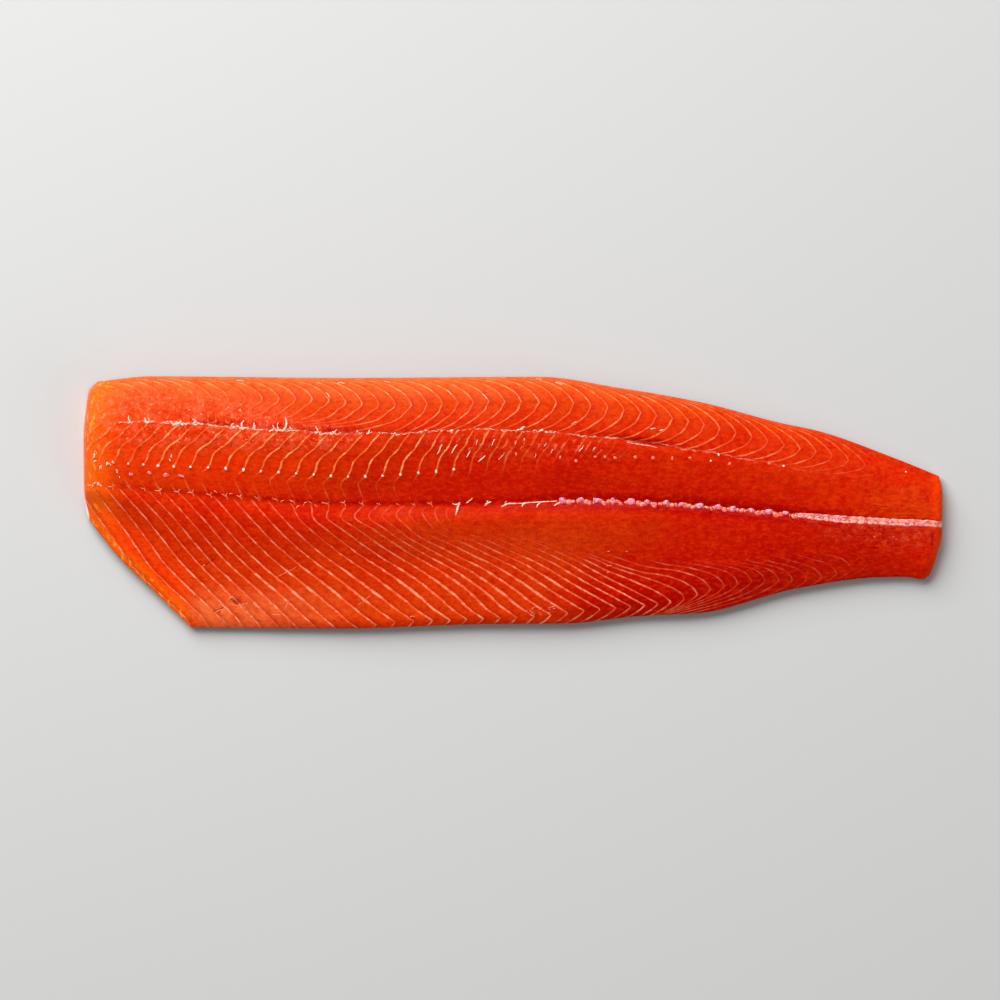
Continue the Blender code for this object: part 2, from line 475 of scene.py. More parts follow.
@dataclass(frozen=True)
class BellySepta(Septa):
    """The long lines of the belly, which turn back near its edge, read by y."""

    count: Track = Track((
        (-330, -24), (-136.1, 0), (-104.2, 4), (-70, 8), (-36, 12), (-5.6, 16), (24.8, 20), (53.2, 24),
        (77.2, 28), (101.5, 32), (126, 36), (152.8, 40), (330, 66)))
    tip_y: Track = Track((
        (-75, -57.5), (-52, -54), (-20, -52.6), (10, -51.4), (30, -49), (66, -45.5), (77, -43.7),
        (89, -39.2), (108, -35.7), (134, -34.3), (161, -27.5)))
    stations: tuple[float, ...] = (-138, -115, -45, -5, 46, 66, 77, 86, 115, 146)
    arms: tuple[tuple[Pair, ...], ...] = (
        ((0, 0), (5, -2.7), (10, -7.7), (20, -18.6), (30, -28), (40, -34.6), (50, -41.8), (60, -49),
         (70, -56)),
        ((0, 0), (5, -4), (10, -8.8), (20, -18.6), (30, -28.6), (40, -37), (50, -45), (58, -52.6),
         (68, -62)),
        ((0, 0), (5, -7.6), (10, -14), (20, -27.2), (30, -41), (40, -52.6), (50, -62), (57, -68),
         (66, -76)),
        ((0, 0), (5, -7), (10, -11.7), (20, -25), (30, -42), (40, -57), (46, -65.6), (50, -62),
         (56, -58)),
        ((0, 0), (5, -9), (10, -18), (20, -34.7), (25, -46), (30, -57), (36, -72), (43, -76), (50, -70)),
        ((0, 0), (5, -9.3), (10, -19.5), (15, -29), (20, -38), (40, -85)),
        ((0, 0), (2, -0.6), (5, -5), (10, -17.5), (15, -32.6), (17, -36.7), (40, -100)),
        ((0, 0), (3, -2.2), (6, -7.2), (8.5, -15), (10, -28), (13.5, -40), (40, -110)),
        ((0, 0), (2, -0.8), (5, -4.5), (6.4, -8.7), (7.2, -13.5), (9, -22), (40, -110)),
        ((0, 0), (2, -1.6), (4.7, -5.3), (6.3, -11), (10, -22), (40, -90)),
    )
    turn_back: Pair = (0.75, 0.13)
    show: LaneField = LaneField((2, 2.1, 2.25, 2.4, 2.5, 2.6, 2.75, 3), (
        ((-190, 0.5), (-110, 0.5), (-80, 0.3), (-30, 0.2), (-18, 0)),
        ((-190, 0.6), (-100, 0.6), (-70, 0.4), (-36, 0.25), (-22, 0)),
        ((-190, 0.7), (-90, 0.65), (-50, 0.35), (-30, 0.15), (-12, 0)),
        ((-190, 0.85), (-50, 0.75), (-15, 0.6), (10, 0.3), (28, 0)),
        ((-190, 0.9), (-30, 0.85), (20, 0.7), (45, 0.3), (62, 0)),
        ((-190, 1), (30, 0.95), (60, 0.6), (85, 0.4), (105, 0.22), (150, 0.2), (165, 0)),
        ((-190, 1), (50, 1), (80, 0.6), (105, 0.28), (150, 0.2), (165, 0)),
        ((-190, 1), (70, 0.9), (100, 0.4), (128, 0.2), (155, 0.1), (165, 0)),
    ))

    def shift(self, tip: Array, side: Array) -> Array:
        """How far along x a line lies from its tip, at a y."""
        above = side - self.tip_y.at(tip)
        below = np.clip(-above, 0, None)
        place = np.clip(tip, self.stations[0], self.stations[-1])
        result = -(self.turn_back[0] * below + self.turn_back[1] * below**2)
        for k, arm in enumerate(self.arms):
            weight = np.ones_like(place)
            if k > 0:
                weight = (place - self.stations[k - 1]) / (self.stations[k] - self.stations[k - 1])
            if k < len(self.arms) - 1:
                next_step = self.stations[k + 1] - self.stations[k]
                weight = np.minimum(weight, (self.stations[k + 1] - place) / next_step)
            result = result + np.clip(weight, 0, 1) * Track(arm).at(above)
        return result


# --- Shader and geometry node tools ---


@dataclass(frozen=True)
class Socket:
    """A node's output, with Python's own signs for sums on it."""

    tree: bpy.types.NodeTree
    output: bpy.types.NodeSocket

    def math(self, operation: str, *others: Any, clamp: bool = False, first: Any = None) -> Socket:
        """Add a Math node.

        Args:
            operation: The node's operation.
            others: Its other operands.
            clamp: Whether the result is held between 0 and 1.
            first: A first operand to use before this one.

        Returns:
            The node's result.
        """
        operands = [self, *others] if first is None else [first, self, *others]
        names = ("Value", "Value_001", "Value_002")
        settings = {"operation": operation, "use_clamp": clamp}
        return add_node(self.tree, "ShaderNodeMath", settings, dict(zip(names, operands)))

    def __add__(self, other: Any) -> Socket:
        """The sum, either way round."""
        return self.math("ADD", other)

    def __sub__(self, other: Any) -> Socket:
        """Self minus other."""
        return self.math("SUBTRACT", other)

    def __rsub__(self, other: Any) -> Socket:
        """Other minus self."""
        return self.math("SUBTRACT", first=other)

    def __mul__(self, other: Any) -> Socket:
        """The product, either way round."""
        return self.math("MULTIPLY", other)

    def __truediv__(self, other: Any) -> Socket:
        """Self over other."""
        return self.math("DIVIDE", other)

    def __abs__(self) -> Socket:
        """Self without its sign."""
        return self.math("ABSOLUTE")

    __radd__ = __add__
    __rmul__ = __mul__

    def fract(self) -> Socket:
        """The part after the decimal point."""
        return self.math("FRACT")

    def floor(self) -> Socket:
        """The whole number below."""
        return self.math("FLOOR")

    def clamp(self) -> Socket:
        """Self held between 0 and 1."""
        return self.math("ADD", 0.0, clamp=True)

    def ramp(self, start: Any, end: Any, low: Any = 0.0, high: Any = 1.0) -> Socket:
        """Run smoothly from low at start to high at end."""
        links = {"Value": self, "From Min": start, "From Max": end, "To Min": low, "To Max": high}
        return add_node(self.tree, "ShaderNodeMapRange", {"interpolation_type": "SMOOTHSTEP"}, links)


def add_node(tree: bpy.types.NodeTree, kind: str, settings: dict[str, Any] | None = None,
             inputs: dict[str | int, Any] | None = None, output: int | str = 0) -> Socket:
    """Add a node, with its settings first and its sockets next.

    Args:
        tree: The tree that takes the node.
        kind: The node's type.
        settings: The node's own properties.
        inputs: Values or links, by the socket's identifier, name or place.
        output: The output that is handed on, by place, identifier or name.

    Returns:
        The chosen output.
    """
    node = tree.nodes.new(kind)
    for name, value in (settings or {}).items():
        setattr(node, name, value)
    for key, value in (inputs or {}).items():
        target = pick(node.inputs, key)
        if isinstance(value, Socket):
            tree.links.new(value.output, target)
        elif value is not None:
            target.default_value = value
    return Socket(tree, pick(node.outputs, output)) if node.outputs else Socket(tree, None)


def pick(sockets: Any, key: int | str) -> bpy.types.NodeSocket:
    """Find a socket by place, by identifier or by name.

    Args:
        sockets: A node's inputs or outputs.
        key: What to look for.

    Returns:
        The socket.
    """
    if isinstance(key, int):
        return sockets[key]
    by_identifier = [s for s in sockets if s.identifier == key and s.enabled]
    by_name = [s for s in sockets if s.name == key and s.enabled]
    return (by_identifier or by_name)[0]


class NodeWork:
    """What is common to a material and a geometry recipe: the tree that takes the nodes."""

    tree: bpy.types.NodeTree

    def node(self, kind: str, settings: dict[str, Any] | None = None,
             inputs: dict[str | int, Any] | None = None, output: int | str = 0) -> Socket:
        """Add one node; see `add_node`."""
        return add_node(self.tree, kind, settings, inputs, output)


class Layers(NodeWork):
    """A material being built up: colours and heights laid one over another."""

    def __init__(self, name: str) -> None:
        """Start an empty material.

        Args:
            name: The material's name.
        """
        self.material = bpy.data.materials.new(name)
        self.material.use_nodes = True
        self.tree = self.material.node_tree
        self.tree.nodes.clear()

    def place(self) -> Socket:
        """The point's place on the object, in metres."""
        return self.node("ShaderNodeTexCoord", output="Object")

    def attribute(self, name: str, output: str = "Vector") -> Socket:
        """A named value that the mesh carries."""
        return self.node("ShaderNodeAttribute", {"attribute_name": name}, output=output)

    def parts(self, vector: Socket) -> tuple[Socket, Socket, Socket]:
        """The three parts of a vector."""
        first = self.node("ShaderNodeSeparateXYZ", inputs={"Vector": vector})
        outputs = first.output.node.outputs
        return first, Socket(self.tree, outputs[1]), Socket(self.tree, outputs[2])

    def stretch(self, vector: Socket, scale: Triple) -> Socket:
        """A vector with each part scaled."""
        return self.node("ShaderNodeMapping", inputs={"Vector": vector, "Scale": scale})

    def noise(self, vector: Socket, per_metre: float, detail: float = 2.0,
              roughness: float = 0.5) -> Socket:
        """Smooth noise from 0 to 1 with so many patches to a metre."""
        links = {"Vector": vector, "Scale": per_metre, "Detail": detail, "Roughness": roughness}
        return self.node("ShaderNodeTexNoise", inputs=links)

    def draw(self, number: Socket) -> Socket:
        """A random value from 0 to 1 for each number."""
        return self.node("ShaderNodeTexWhiteNoise", {"noise_dimensions": "1D"}, {"W": number},
                         output="Value")

    def blend(self, under: Any, over: Any, mask: Any) -> Socket:
        """Lay a colour over another by a mask."""
        settings = {"data_type": "RGBA", "clamp_factor": True}
        links = {"Factor_Float": mask, "A_Color": under, "B_Color": over}
        return self.node("ShaderNodeMix", settings, links, output="Result_Color")

    def stack(self, under: Any, *coats: tuple[Colour, Any]) -> Any:
        """Lay colours over one another in order.

        Args:
            under: The lowest colour.
            coats: Each further colour, with its mask.

        Returns:
            What is seen from above.
        """
        for over, mask in coats:
            under = self.blend(under, over, mask)
        return under

    def bump(self, height: Socket, distance: float, strength: float) -> Socket:
        """A surface normal from a height; a height of 1 measures the distance, in metres."""
        links = {"Strength": strength, "Distance": distance, "Height": height}
        return self.node("ShaderNodeBump", inputs=links)

    def finish(self, sockets: dict[str, Any]) -> Material:
        """Close the material with a Principled shader, given its values and links.

        Args:
            sockets: The shader's values and links.

        Returns:
            The material.
        """
        shader = self.node("ShaderNodeBsdfPrincipled", inputs=sockets)
        self.node("ShaderNodeOutputMaterial", inputs={"Surface": shader})
        return self.material


class NodeRecipe(NodeWork):
    """A Geometry Nodes tree with named inputs, which makes one plain mesh."""

    def __init__(self, name: str) -> None:
        """Start a tree that takes and gives geometry.

        Args:
            name: The tree's name.
        """
        self.tree = bpy.data.node_groups.new(name, "GeometryNodeTree")
        face = self.tree.interface
        face.new_socket(name="Geometry", in_out="INPUT", socket_type="NodeSocketGeometry")
        face.new_socket(name="Geometry", in_out="OUTPUT", socket_type="NodeSocketGeometry")
        self.names: dict[str, str] = {}
        self.group: bpy.types.Node | None = None

    def declare(self, **kinds: str) -> None:
        """Name the tree's inputs.

        Args:
            kinds: Socket types by input name.
        """
        for name, kind in kinds.items():
            label = name.replace("_", " ").capitalize()
            item = self.tree.interface.new_socket(name=label, in_out="INPUT", socket_type=kind)
            self.names[name] = item.identifier
        self.group = self.tree.nodes.new("NodeGroupInput")

    def given(self, name: str) -> Socket:
        """One of the tree's inputs, or the geometry it is given."""
        key = self.names.get(name, 0)
        return Socket(self.tree, pick(self.group.outputs, key))

    def named(self, name: str, kind: str) -> Socket:
        """A named attribute of the given type."""
        return self.node("GeometryNodeInputNamedAttribute", {"data_type": kind}, {"Name": name},
                         output="Attribute")

    def roughen(self, geometry: Socket, per_metre: Any, detail: float) -> Socket:
        """Push a shape's points about by smooth noise.

        Args:
            geometry: The shape.
            per_metre: How many patches of noise go to a metre.
            detail: The noise's finer layers.

        Returns:
            The uneven shape.
        """
        place = self.node("GeometryNodeInputPosition")
        lumps = self.node("ShaderNodeTexNoise", {"noise_dimensions": "4D"}, {
            "Vector": place, "Scale": per_metre, "W": self.given("seed"), "Detail": detail},
            output="Color")
        centred = self.node("ShaderNodeVectorMath", {"operation": "SUBTRACT"},
                            {0: lumps, 1: (0.5, 0.5, 0.5)})
        push = self.node("ShaderNodeVectorMath", {"operation": "SCALE"},
                         {"Vector": centred, "Scale": self.given("unevenness")})
        return self.node("GeometryNodeSetPosition", inputs={"Geometry": geometry, "Offset": push})

    def close(self, geometry: Socket) -> None:
        """Realize what is copied, give it the material and hand it out."""
        real = self.node("GeometryNodeRealizeInstances", inputs={"Geometry": geometry})
        smooth = self.node("GeometryNodeSetShadeSmooth", inputs={"Geometry": real})
        done = self.node("GeometryNodeSetMaterial",
                         inputs={"Geometry": smooth, "Material": self.given("material")})
        self.node("NodeGroupOutput", inputs={0: done})

    def make(self, name: str, source: Thing, values: dict[str, Any]) -> Thing:
        """Run the tree on an object and keep the plain mesh.

        Args:
            name: The new piece's name.
            source: The object that the tree starts from, which is removed.
            values: The tree's inputs by name.

        Returns:
            The piece, with its place in its mesh.
        """
        modifier = source.modifiers.new(name, "NODES")
        modifier.node_group = self.tree
        for key, value in values.items():
            modifier[self.names[key]] = value
        graph = bpy.context.evaluated_depsgraph_get()
        mesh = bpy.data.meshes.new_from_object(source.evaluated_get(graph), depsgraph=graph)
        mesh.name = name
        piece = bpy.data.objects.new(name, mesh)
        bpy.context.scene.collection.objects.link(piece)
        bpy.data.objects.remove(source)
        return piece


def mesh_object(name: str, points: Array, faces: Faces,
                edges: list[tuple[int, int]] | None = None) -> Thing:
    """Make an object from points in metres.

    Args:
        name: Its name.
        points: The points.
        faces: Faces by point number.
        edges: Loose edges by point number.

    Returns:
        The object, linked to the scene.
    """
    mesh = bpy.data.meshes.new(name)
    mesh.from_pydata(points.tolist(), edges or [], faces)
    mesh.update()
    thing = bpy.data.objects.new(name, mesh)
    bpy.context.scene.collection.objects.link(thing)
    return thing


def border_of(columns: int, rows: int) -> list[tuple[int, int]]:
    """A grid's border points once round, each by its column and row.

    Args:
        columns: The grid's columns.
        rows: The grid's rows.

    Returns:
        The border in order, from the first column's first row along the columns.
    """
    return ([(i, 0) for i in range(columns)] + [(columns - 1, j) for j in range(1, rows)]
            + [(i, rows - 1) for i in range(columns - 2, -1, -1)]
            + [(0, j) for j in range(rows - 2, 0, -1)])


def paired_sheets(columns: int, rows: int) -> Faces:
    """Join two grids of points, one after the other, into a closed thin sheet.

    Args:
        columns: The grids' columns.
        rows: The grids' rows.

    Returns:
        The quads, which face out where the first grid's columns and rows turn so.
    """
    size = columns * rows
    faces = []
    for i in range(columns - 1):
        a, b = i * rows, (i + 1) * rows
        faces += [(a + j, b + j, b + j + 1, a + j + 1) for j in range(rows - 1)]
        faces += [(size + a + j, size + a + j + 1, size + b + j + 1, size + b + j)
                  for j in range(rows - 1)]
    border = [i * rows + j for i, j in border_of(columns, rows)]
    return faces + [(size + a, size + b, b, a) for a, b in zip(border, border[1:] + border[:1])]


def give_attribute(thing: Thing, name: str, values: Array) -> None:
    """Store a value for each point of a mesh.

    Args:
        thing: The object.
        name: The attribute's name.
        values: One number, or three or four, for each point.
    """
    kinds = {1: ("FLOAT", "value"), 3: ("FLOAT_VECTOR", "vector"), 4: ("FLOAT_COLOR", "color")}
    width = 1 if values.ndim == 1 else values.shape[1]
    kind, key = kinds[width]
    layer = thing.data.attributes.new(name, kind, "POINT")
    layer.data.foreach_set(key, np.ascontiguousarray(values, np.float32).ravel())


def dress(piece: Thing, material: Material) -> Thing:
    """Give a piece its material and body.

    Args:
        piece: The piece.
        material: Its material.

    Returns:
        The piece.
    """
    piece.data.materials.clear()
    piece.data.materials.append(material)
    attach(piece, BODY)
    LOG.info("%s: %d faces", piece.name, len(piece.data.polygons))
    return piece


class Slot(Enum):
    """The record's material slots."""

    FLESH = "salmon_flesh"
    SKIN = "fish_skin"


# --- The flesh ---


@dataclass(frozen=True)
class Cut:
    """A narrow cut or a pit in the flesh's face, or a shallow dark smudge; its shade paints shade into the
    cut or pit.
    """

    start: Pair
    end: Pair
    half_width: float
    depth: float
    shade: float = 0.6

    def at(self, x: Array, y: Array) -> Array:
        """How deep the cut is at a point."""
        run = np.subtract(self.end, self.start)
        length = max(float(run @ run), 1e-6)
        along = ((x - self.start[0]) * run[0] + (y - self.start[1]) * run[1]) / length
        along = np.clip(along, 0, 1)
        off = np.hypot(x - self.start[0] - along * run[0], y - self.start[1] - along * run[1])
        return self.depth * bell(off, self.half_width)


@dataclass(frozen=True)
class FleshFace:
    """Everything that varies over the flesh: its relief, its lines and its tones."""

    form: FilletForm
    back: BackSepta = BackSepta()
    loin: LoinSepta = LoinSepta()
    belly: BellySepta = BellySepta()
    crease_depth: Track = Track((
        (-194, 0.05), (-112, 0.15), (-70, 0.22), (-40, 0.25), (20, 0.35), (56, 0.55), (80, 0.3),
        (150, 0.1), (194, 0)))
    midline_depth: Track = Track(((-194, 0.1), (-60, 0.12), (0, 0.25), (40, 0.55), (110, 0.8), (194, 0.5)))
    midline_half_width: float = 1.3
    crease_half_width: Pair = (0.5, 2.4)
    crease_wander: Ripple = Ripple(14, 34, seed=3)
    flake_groove: float = 0.13
    flake_groove_half_width: float = 0.15
    swell: Ripple = Ripple(14, 40, seed=5)
    swell_depth: float = 0.16
    pitting: Ripple = Ripple(2.2, 5.5, seed=8, waves=30)
    pitting_depth: float = 0.035
    crowded_rate: float = 0.42
    # Each cut's shade paints shade into the slit, nicks, pit and pores; the last two are shallow smudges
    # whose dark is their own.
    cuts: tuple[Cut, ...] = (
        Cut((50.5, 28.2), (69, 25.4), 0.38, 0.6, 0.5),
        Cut((-138.0, -28.0), (-133.9, -25.4), 0.5, 0.4),
        Cut((-125.2, -44.4), (-123.8, -45.4), 1.2, 0.8, 0.75),
        Cut((-134.6, -49.1), (-130.4, -47.3), 0.35, 0.3),
        Cut((-130.4, -47.3), (-132.2, -50.2), 0.4, 0.35),
        Cut((65.6, -2.8), (65.8, -2.8), 0.75, 0.4, 0.9),
        Cut((89.0, -4.4), (89.4, -4.4), 0.75, 0.4, 0.9),
        Cut((113.0, -6.2), (113.2, -6.2), 0.5, 0.3, 0.9),
        Cut((126.4, -7.6), (126.6, -7.6), 0.5, 0.3, 0.9),
        Cut((189.0, -14.2), (188.6, -18.6), 1.2, 0.05, 0.5),
        Cut((178.6, 8.4), (176.8, 6.2), 1.3, 0.02, 0.22),
    )

    def crease_y(self, x: Array) -> Array:
        """Where the crease runs, with its slight wandering."""
        return self.form.crease.at(x) + 0.45 * self.crease_wander.at(x, x * 0)

    def phases(self, x: Array, y: Array, lane: Array, drop: Array) -> Array:
        """The three families' line counts at each point.

        Args:
            x: Places along it.
            y: Places across it.
            lane: Lanes there.
            drop: How far down an edge's wall each point lies.

        Returns:
            One row of three counts for each point.
        """
        back = self.back.phase(x, lane - drop * 0.045)
        loin = self.loin.phase(x, lane)
        belly = self.belly.phase(x, y - drop)
        return np.stack((back, loin, belly), axis=-1)

    def shows(self, x: Array, lane: Array) -> Array:
        """How clearly the three families show at each point, from 0 to 1."""
        back = self.back.show.at(x, lane) * fade(lane, 1.0, 0.97)
        loin = self.loin.show.at(x, lane) * fade(lane, 1.0, 1.03) * fade(lane, 2.0, 1.97)
        belly = self.belly.show.at(x, lane) * fade(lane, 2.0, 2.03)
        return np.clip(np.stack((back, loin, belly), axis=-1), 0, 1)

    def widths(self, x: Array, y: Array, lane: Array) -> Array:
        """The three families' line widths at each point, in millimetres."""
        back = 0.58 + 0.14 * bell(lane - 0.1, 0.15)
        loin = 0.64 + 0.2 * bell(lane - 1.45, 0.1)
        heavy = fade(x, -160, -110) * fade(x, 40, 10) * bell(y + 40, 10)
        belly = 0.62 + 0.5 * heavy - 0.12 * fade(x, 60, 110)
        return np.stack((back + 0 * x, loin + 0 * x, belly), axis=-1)

    def relief(self, x: Array, y: Array, phases: Array, shows: Array) -> Array:
        """The small heights on the upper face.

        Args:
            x: Places along it.
            y: Places across it.
            phases: The line counts there.
            shows: How clearly the lines show there.

        Returns:
            Heights to add.
        """
        off = y - self.crease_y(x)
        steep, gentle = self.crease_half_width
        height = -self.crease_depth.at(x) * np.where(off > 0, bell(off, steep), bell(off, gentle))
        middle = y - self.form.midline.at(x)
        near = (phases + 0.5) % 1 - 0.5
        height = (height - self.midline_depth.at(x) * bell(middle, self.midline_half_width)
                  - (self.flake_groove * shows * bell(near, self.flake_groove_half_width)).sum(-1)
                  + self.swell_depth * self.swell.at(x, y)
                  + self.pitting_depth * self.pitting.at(x, y))
        for cut in self.cuts:
            height = height - cut.at(x, y)
        return height

    def top(self, x: Array, y: Array, lane: Array, limits: tuple[Array, Array],
            relief: Array) -> Array:
        """Height of the upper face, with the given relief, between the cuts' x."""
        base = self.form.base(x, y)
        return base + (self.form.heights.at(x, lane) + relief - base) * self.form.rim_share(x, y, limits)

    def on(self, x: Array, y: Array, lift: float = 0.0) -> Array:
        """Points on the upper face.

        Args:
            x: Places along it.
            y: Places across it.
            lift: How far over the face the points lie.

        Returns:
            One row of x, y and z for each point.
        """
        x, y = np.asarray(x, float), np.asarray(y, float)
        lane = self.form.lane_at(x, y)
        phases = self.phases(x, y, lane, 0 * x)
        relief = self.relief(x, y, phases, self.shows(x, lane))
        limits = self.form.reach_limits(lane, self.form.skin_lip)
        return np.stack((x, y, self.top(x, y, lane, limits, relief) + lift), axis=-1)


@dataclass(frozen=True)
class FleshTones:
    """Where the flesh is warm, pale, amber or deep, and where it is torn or streaked; warm, pale, amber and
    deep are partly painted light and shade.
    """

    form: FilletForm
    # Partly the flesh's own orange, and partly painted light on the slopes that face the lamp.
    warm: LaneField = LaneField((0, 0.45, 0.8, 1.05, 1.5, 1.95, 2.15, 2.5, 2.85, 3.0), (
        ((-190, 1), (60, 0.9), (120, 0.5), (194, 0.15)),
        ((-190, 0.9), (-40, 0.75), (40, 0.55), (100, 0.35), (194, 0.15)),
        ((-190, 0.65), (-100, 0.4), (0, 0.25), (60, 0.3), (120, 0.22), (194, 0.15)),
        ((-190, 0.55), (-100, 0.4), (0, 0.18), (80, 0.2), (194, 0.22)),
        ((-190, 0.5), (-120, 0.3), (-40, 0.1), (60, 0.02), (130, 0.12), (194, 0.3)),
        ((-190, 0.35), (-100, 0.12), (0, 0.02), (100, 0.03), (194, 0.2)),
        ((-190, 0.4), (-150, 0.2), (-100, 0.12), (-30, 0.45), (40, 0.35), (80, 0.12), (194, 0.06)),
        ((-190, 0.6), (-140, 0.4), (-40, 0.35), (20, 0.4), (60, 0.1), (100, 0.02), (194, 0.05)),
        ((-160, 0.8), (-120, 0.7), (-40, 0.65), (10, 0.45), (50, 0.05), (194, 0.01)),
        ((-150, 0.9), (-60, 0.7), (0, 0.5), (70, 0.2), (100, 0.02), (194, 0.02)),
    ))
    # Partly the flesh's own deeper red, and partly painted shade on the slopes that turn away from the
    # lamp.
    deep: LaneField = LaneField((0, 1, 1.5, 1.8, 2.0, 2.12, 2.3, 2.6, 2.85, 3.0), (
        ((60, 0), (130, 0.14), (194, 0.22)),
        ((-190, 0), (-100, 0.05), (60, 0.15), (130, 0.18), (194, 0.2)),
        ((-190, 0), (-100, 0.1), (60, 0.3), (130, 0.1), (194, 0)),
        ((-190, 0), (-100, 0.15), (0, 0.3), (80, 0.35), (194, 0.1)),
        ((-190, 0.1), (-150, 0.3), (-100, 0.3), (0, 0.4), (90, 0.5), (150, 0.3), (194, 0.2)),
        ((-190, 0.1), (-150, 0.35), (-100, 0.38), (-40, 0.4), (0, 0.36), (60, 0.42), (120, 0.5),
         (160, 0.7), (194, 0.45)),
        ((-190, 0), (-120, 0.35), (-40, 0.2), (50, 0.3), (120, 0.55), (160, 0.7), (194, 0.4)),
        ((-190, 0), (-100, 0.15), (0, 0.15), (55, 0.8), (110, 0.85), (194, 0.4)),
        ((-190, 0), (-100, 0.1), (0, 0.2), (50, 1), (100, 1), (140, 0.45), (194, 0.3)),
        ((-190, 0), (0, 0.2), (55, 0.9), (110, 0.8), (194, 0.2)),
    ))
    torn: LaneField = LaneField((0, 0.35, 0.8, 1.05, 1.35, 1.7, 2.0, 2.3, 2.7, 3.0), (
        ((-190, 0.3), (-140, 0.25), (-90, 0.1), (194, 0.1)),
        ((-190, 0.6), (-145, 0.65), (-110, 0.35), (-80, 0.15), (194, 0.12)),
        ((-190, 0.7), (-130, 0.9), (-90, 0.5), (-60, 0.2), (120, 0.15), (194, 0.3)),
        ((-190, 0.8), (-130, 0.9), (-90, 0.9), (-60, 0.4), (0, 0.35), (150, 0.35), (194, 0.4)),
        ((-190, 0.6), (-130, 0.48), (-90, 0.42), (-60, 0.25), (0, 0.4), (40, 0.35), (100, 0.15),
         (150, 0.25), (194, 0.4)),
        ((-190, 0.45), (-140, 0.2), (-100, 0.1), (150, 0.1), (194, 0.4)),
        ((-190, 0.4), (-100, 0.2), (100, 0.15), (150, 0.5), (194, 0.4)),
        ((-190, 0.15), (-50, 0.12), (100, 0.12), (150, 0.45), (180, 0.55), (194, 0.4)),
        ((-190, 0.1), (-135, 0.2), (-100, 0.1), (0, 0.12), (20, 0.3), (40, 0.12), (120, 0.1), (165, 0.3),
         (194, 0.2)),
        level(0.1).points,
    ))
    ragged_lane: float = 1.19
    membrane: Track = Track((
        (-185, 0), (-174, 0.7), (-160, 1), (-110, 1), (-60, 0.8), (0, 0.7), (60, 0.6), (100, 0.35),
        (150, 0)))
    # Painted shadow: how strongly the dark red line cast by the dorsal flesh's overhang, just above the
    # crease, is painted along x.
    painted_overhang_shadow: Track = Track((
        (-148, 0), (-136, 1), (-108, 0.9), (-98, 0.4), (-88, 0.9), (-72, 0.7), (-58, 0.3), (0, 0.15),
        (44, 0.4), (60, 0.9), (76, 0.4), (90, 0)))
    # Painted shade on the two walls of the midline's groove, along x.
    painted_shade_above_midline: Track = Track(((-100, 0.05), (0, 0.35), (60, 0.85), (130, 0.8), (165, 0.2), (194, 0)))
    painted_shade_below_midline: Track = Track(((-10, 0), (20, 0.5), (60, 0.8), (130, 0.8), (150, 0.3), (194, 0.1)))
    # Painted shade along the midline's seam, mostly in the head half.
    painted_seam_shade: Track = Track(((-180, 0.2), (-120, 0.5), (-20, 0.7), (20, 0.3), (60, 0)))

    def at(self, x: Array, y: Array, lane: Array, limits: tuple[Array, Array]) -> Array:
        """The four tones at each point.

        Args:
            x: Places along it.
            y: Places across it.
            lane: Lanes there.
            limits: The x of the two cuts in each point's lane.

        Returns:
            One row of warm, pale, amber and deep for each point, from 0 to 1.
        """
        head, tail = limits
        from_head, from_tail = x - head, tail - x
        slant = fade(x, -138, -150) * fade(self.form.to_belly(x, y), 7.5, 1.5)
        # Amber is the cut faces' own paler orange, laid on wider and stronger by the head and along the
        # slanting cut to paint light on rims that turn away from the lamp.
        amber = np.maximum(0.9 * fade(from_head, 19.0, 3.0) * fade(lane, 3.2, 2.4), slant)
        amber = np.maximum(amber, 0.3 * fade(from_tail, 3.0, 0.5))
        fatty = fade(x, -152, -138) * fade(x, -60, -125) * fade(y, -34, -48)
        # ridge paints light on the back edge's rounded rim, and the last term of pale paints a highlight
        # along the head cut; fatty is the belly's real paler fat.
        ridge = fade(lane, 0.42, 0.1) * fade(x, 100, -60)
        pale = 0.55 * fatty + 0.32 * ridge + 0.4 * fade(from_head, 3.2, 0.8) * fade(lane, 2, 1)
        middle = y - self.form.midline.at(x)
        deep = (self.deep.at(x, lane)
                # painted shadow under the overhang, just above the crease
                + 1.3 * self.painted_overhang_shadow.at(x) * bell(y - self.form.crease.at(x) - 1.7, 1.3)
                # painted shade on the midline groove's walls
                + self.painted_shade_above_midline.at(x) * bell(middle - 2.2, 1.8)
                + self.painted_shade_below_midline.at(x) * bell(middle + 2.4, 1.8)
                # painted shade on the midline's seam
                + self.painted_seam_shade.at(x) * bell(middle - 0.6, 1.0)) * (1 - amber)
        return np.clip(np.stack((self.warm.at(x, lane), pale, amber, deep), -1), 0, 1)

    def bright_red_and_painted_light(self, x: Array, y: Array, lane: Array) -> Array:
        """Painted light: where the red is made brighter to stand in for light, on the loin by the head, the
        belly's rim and the tail's rim.
        """
        rim = self.form.to_belly(x, y)
        loin = 0.55 * fade(x, -60, -125) * bell(lane - 1.5, 0.55)
        slant = 0.6 * fade(x, -95, -140) * fade(rim, 24, 5) * fade(y, -52, -40)
        lower = 0.6 * fade(x, 50, 10) * fade(rim, 7, 1.5) * fade(y, -30, -45)
        tail = 0.9 * fade(x, 187, 192)
        return np.maximum(np.maximum(loin, slant), np.maximum(lower, tail))

    def zones(self, x: Array, lane: Array) -> Array:
        """Where the flesh is marked.

        Args:
            x: Places along it.
            lane: Lanes there.

        Returns:
            One row for each point: the crease's membrane, torn flesh, the loin's ragged
            part, and the tail's fine streaks.
        """
        ragged = fade(x, -48, -14) * fade(x, 58, 34) * bell(lane - self.ragged_lane, 0.13)
        streaks = fade(x, 148, 164) * bell(lane - 1.75, 0.5)
        return np.clip(np.stack((self.membrane.at(x), self.torn.at(x, lane), ragged, streaks), -1), 0, 1)


@dataclass(frozen=True)
class LineFinish:
    """How one family of pale lines is drawn."""

    attribute: str
    colour: Colour
    bright: Colour
    strength: float


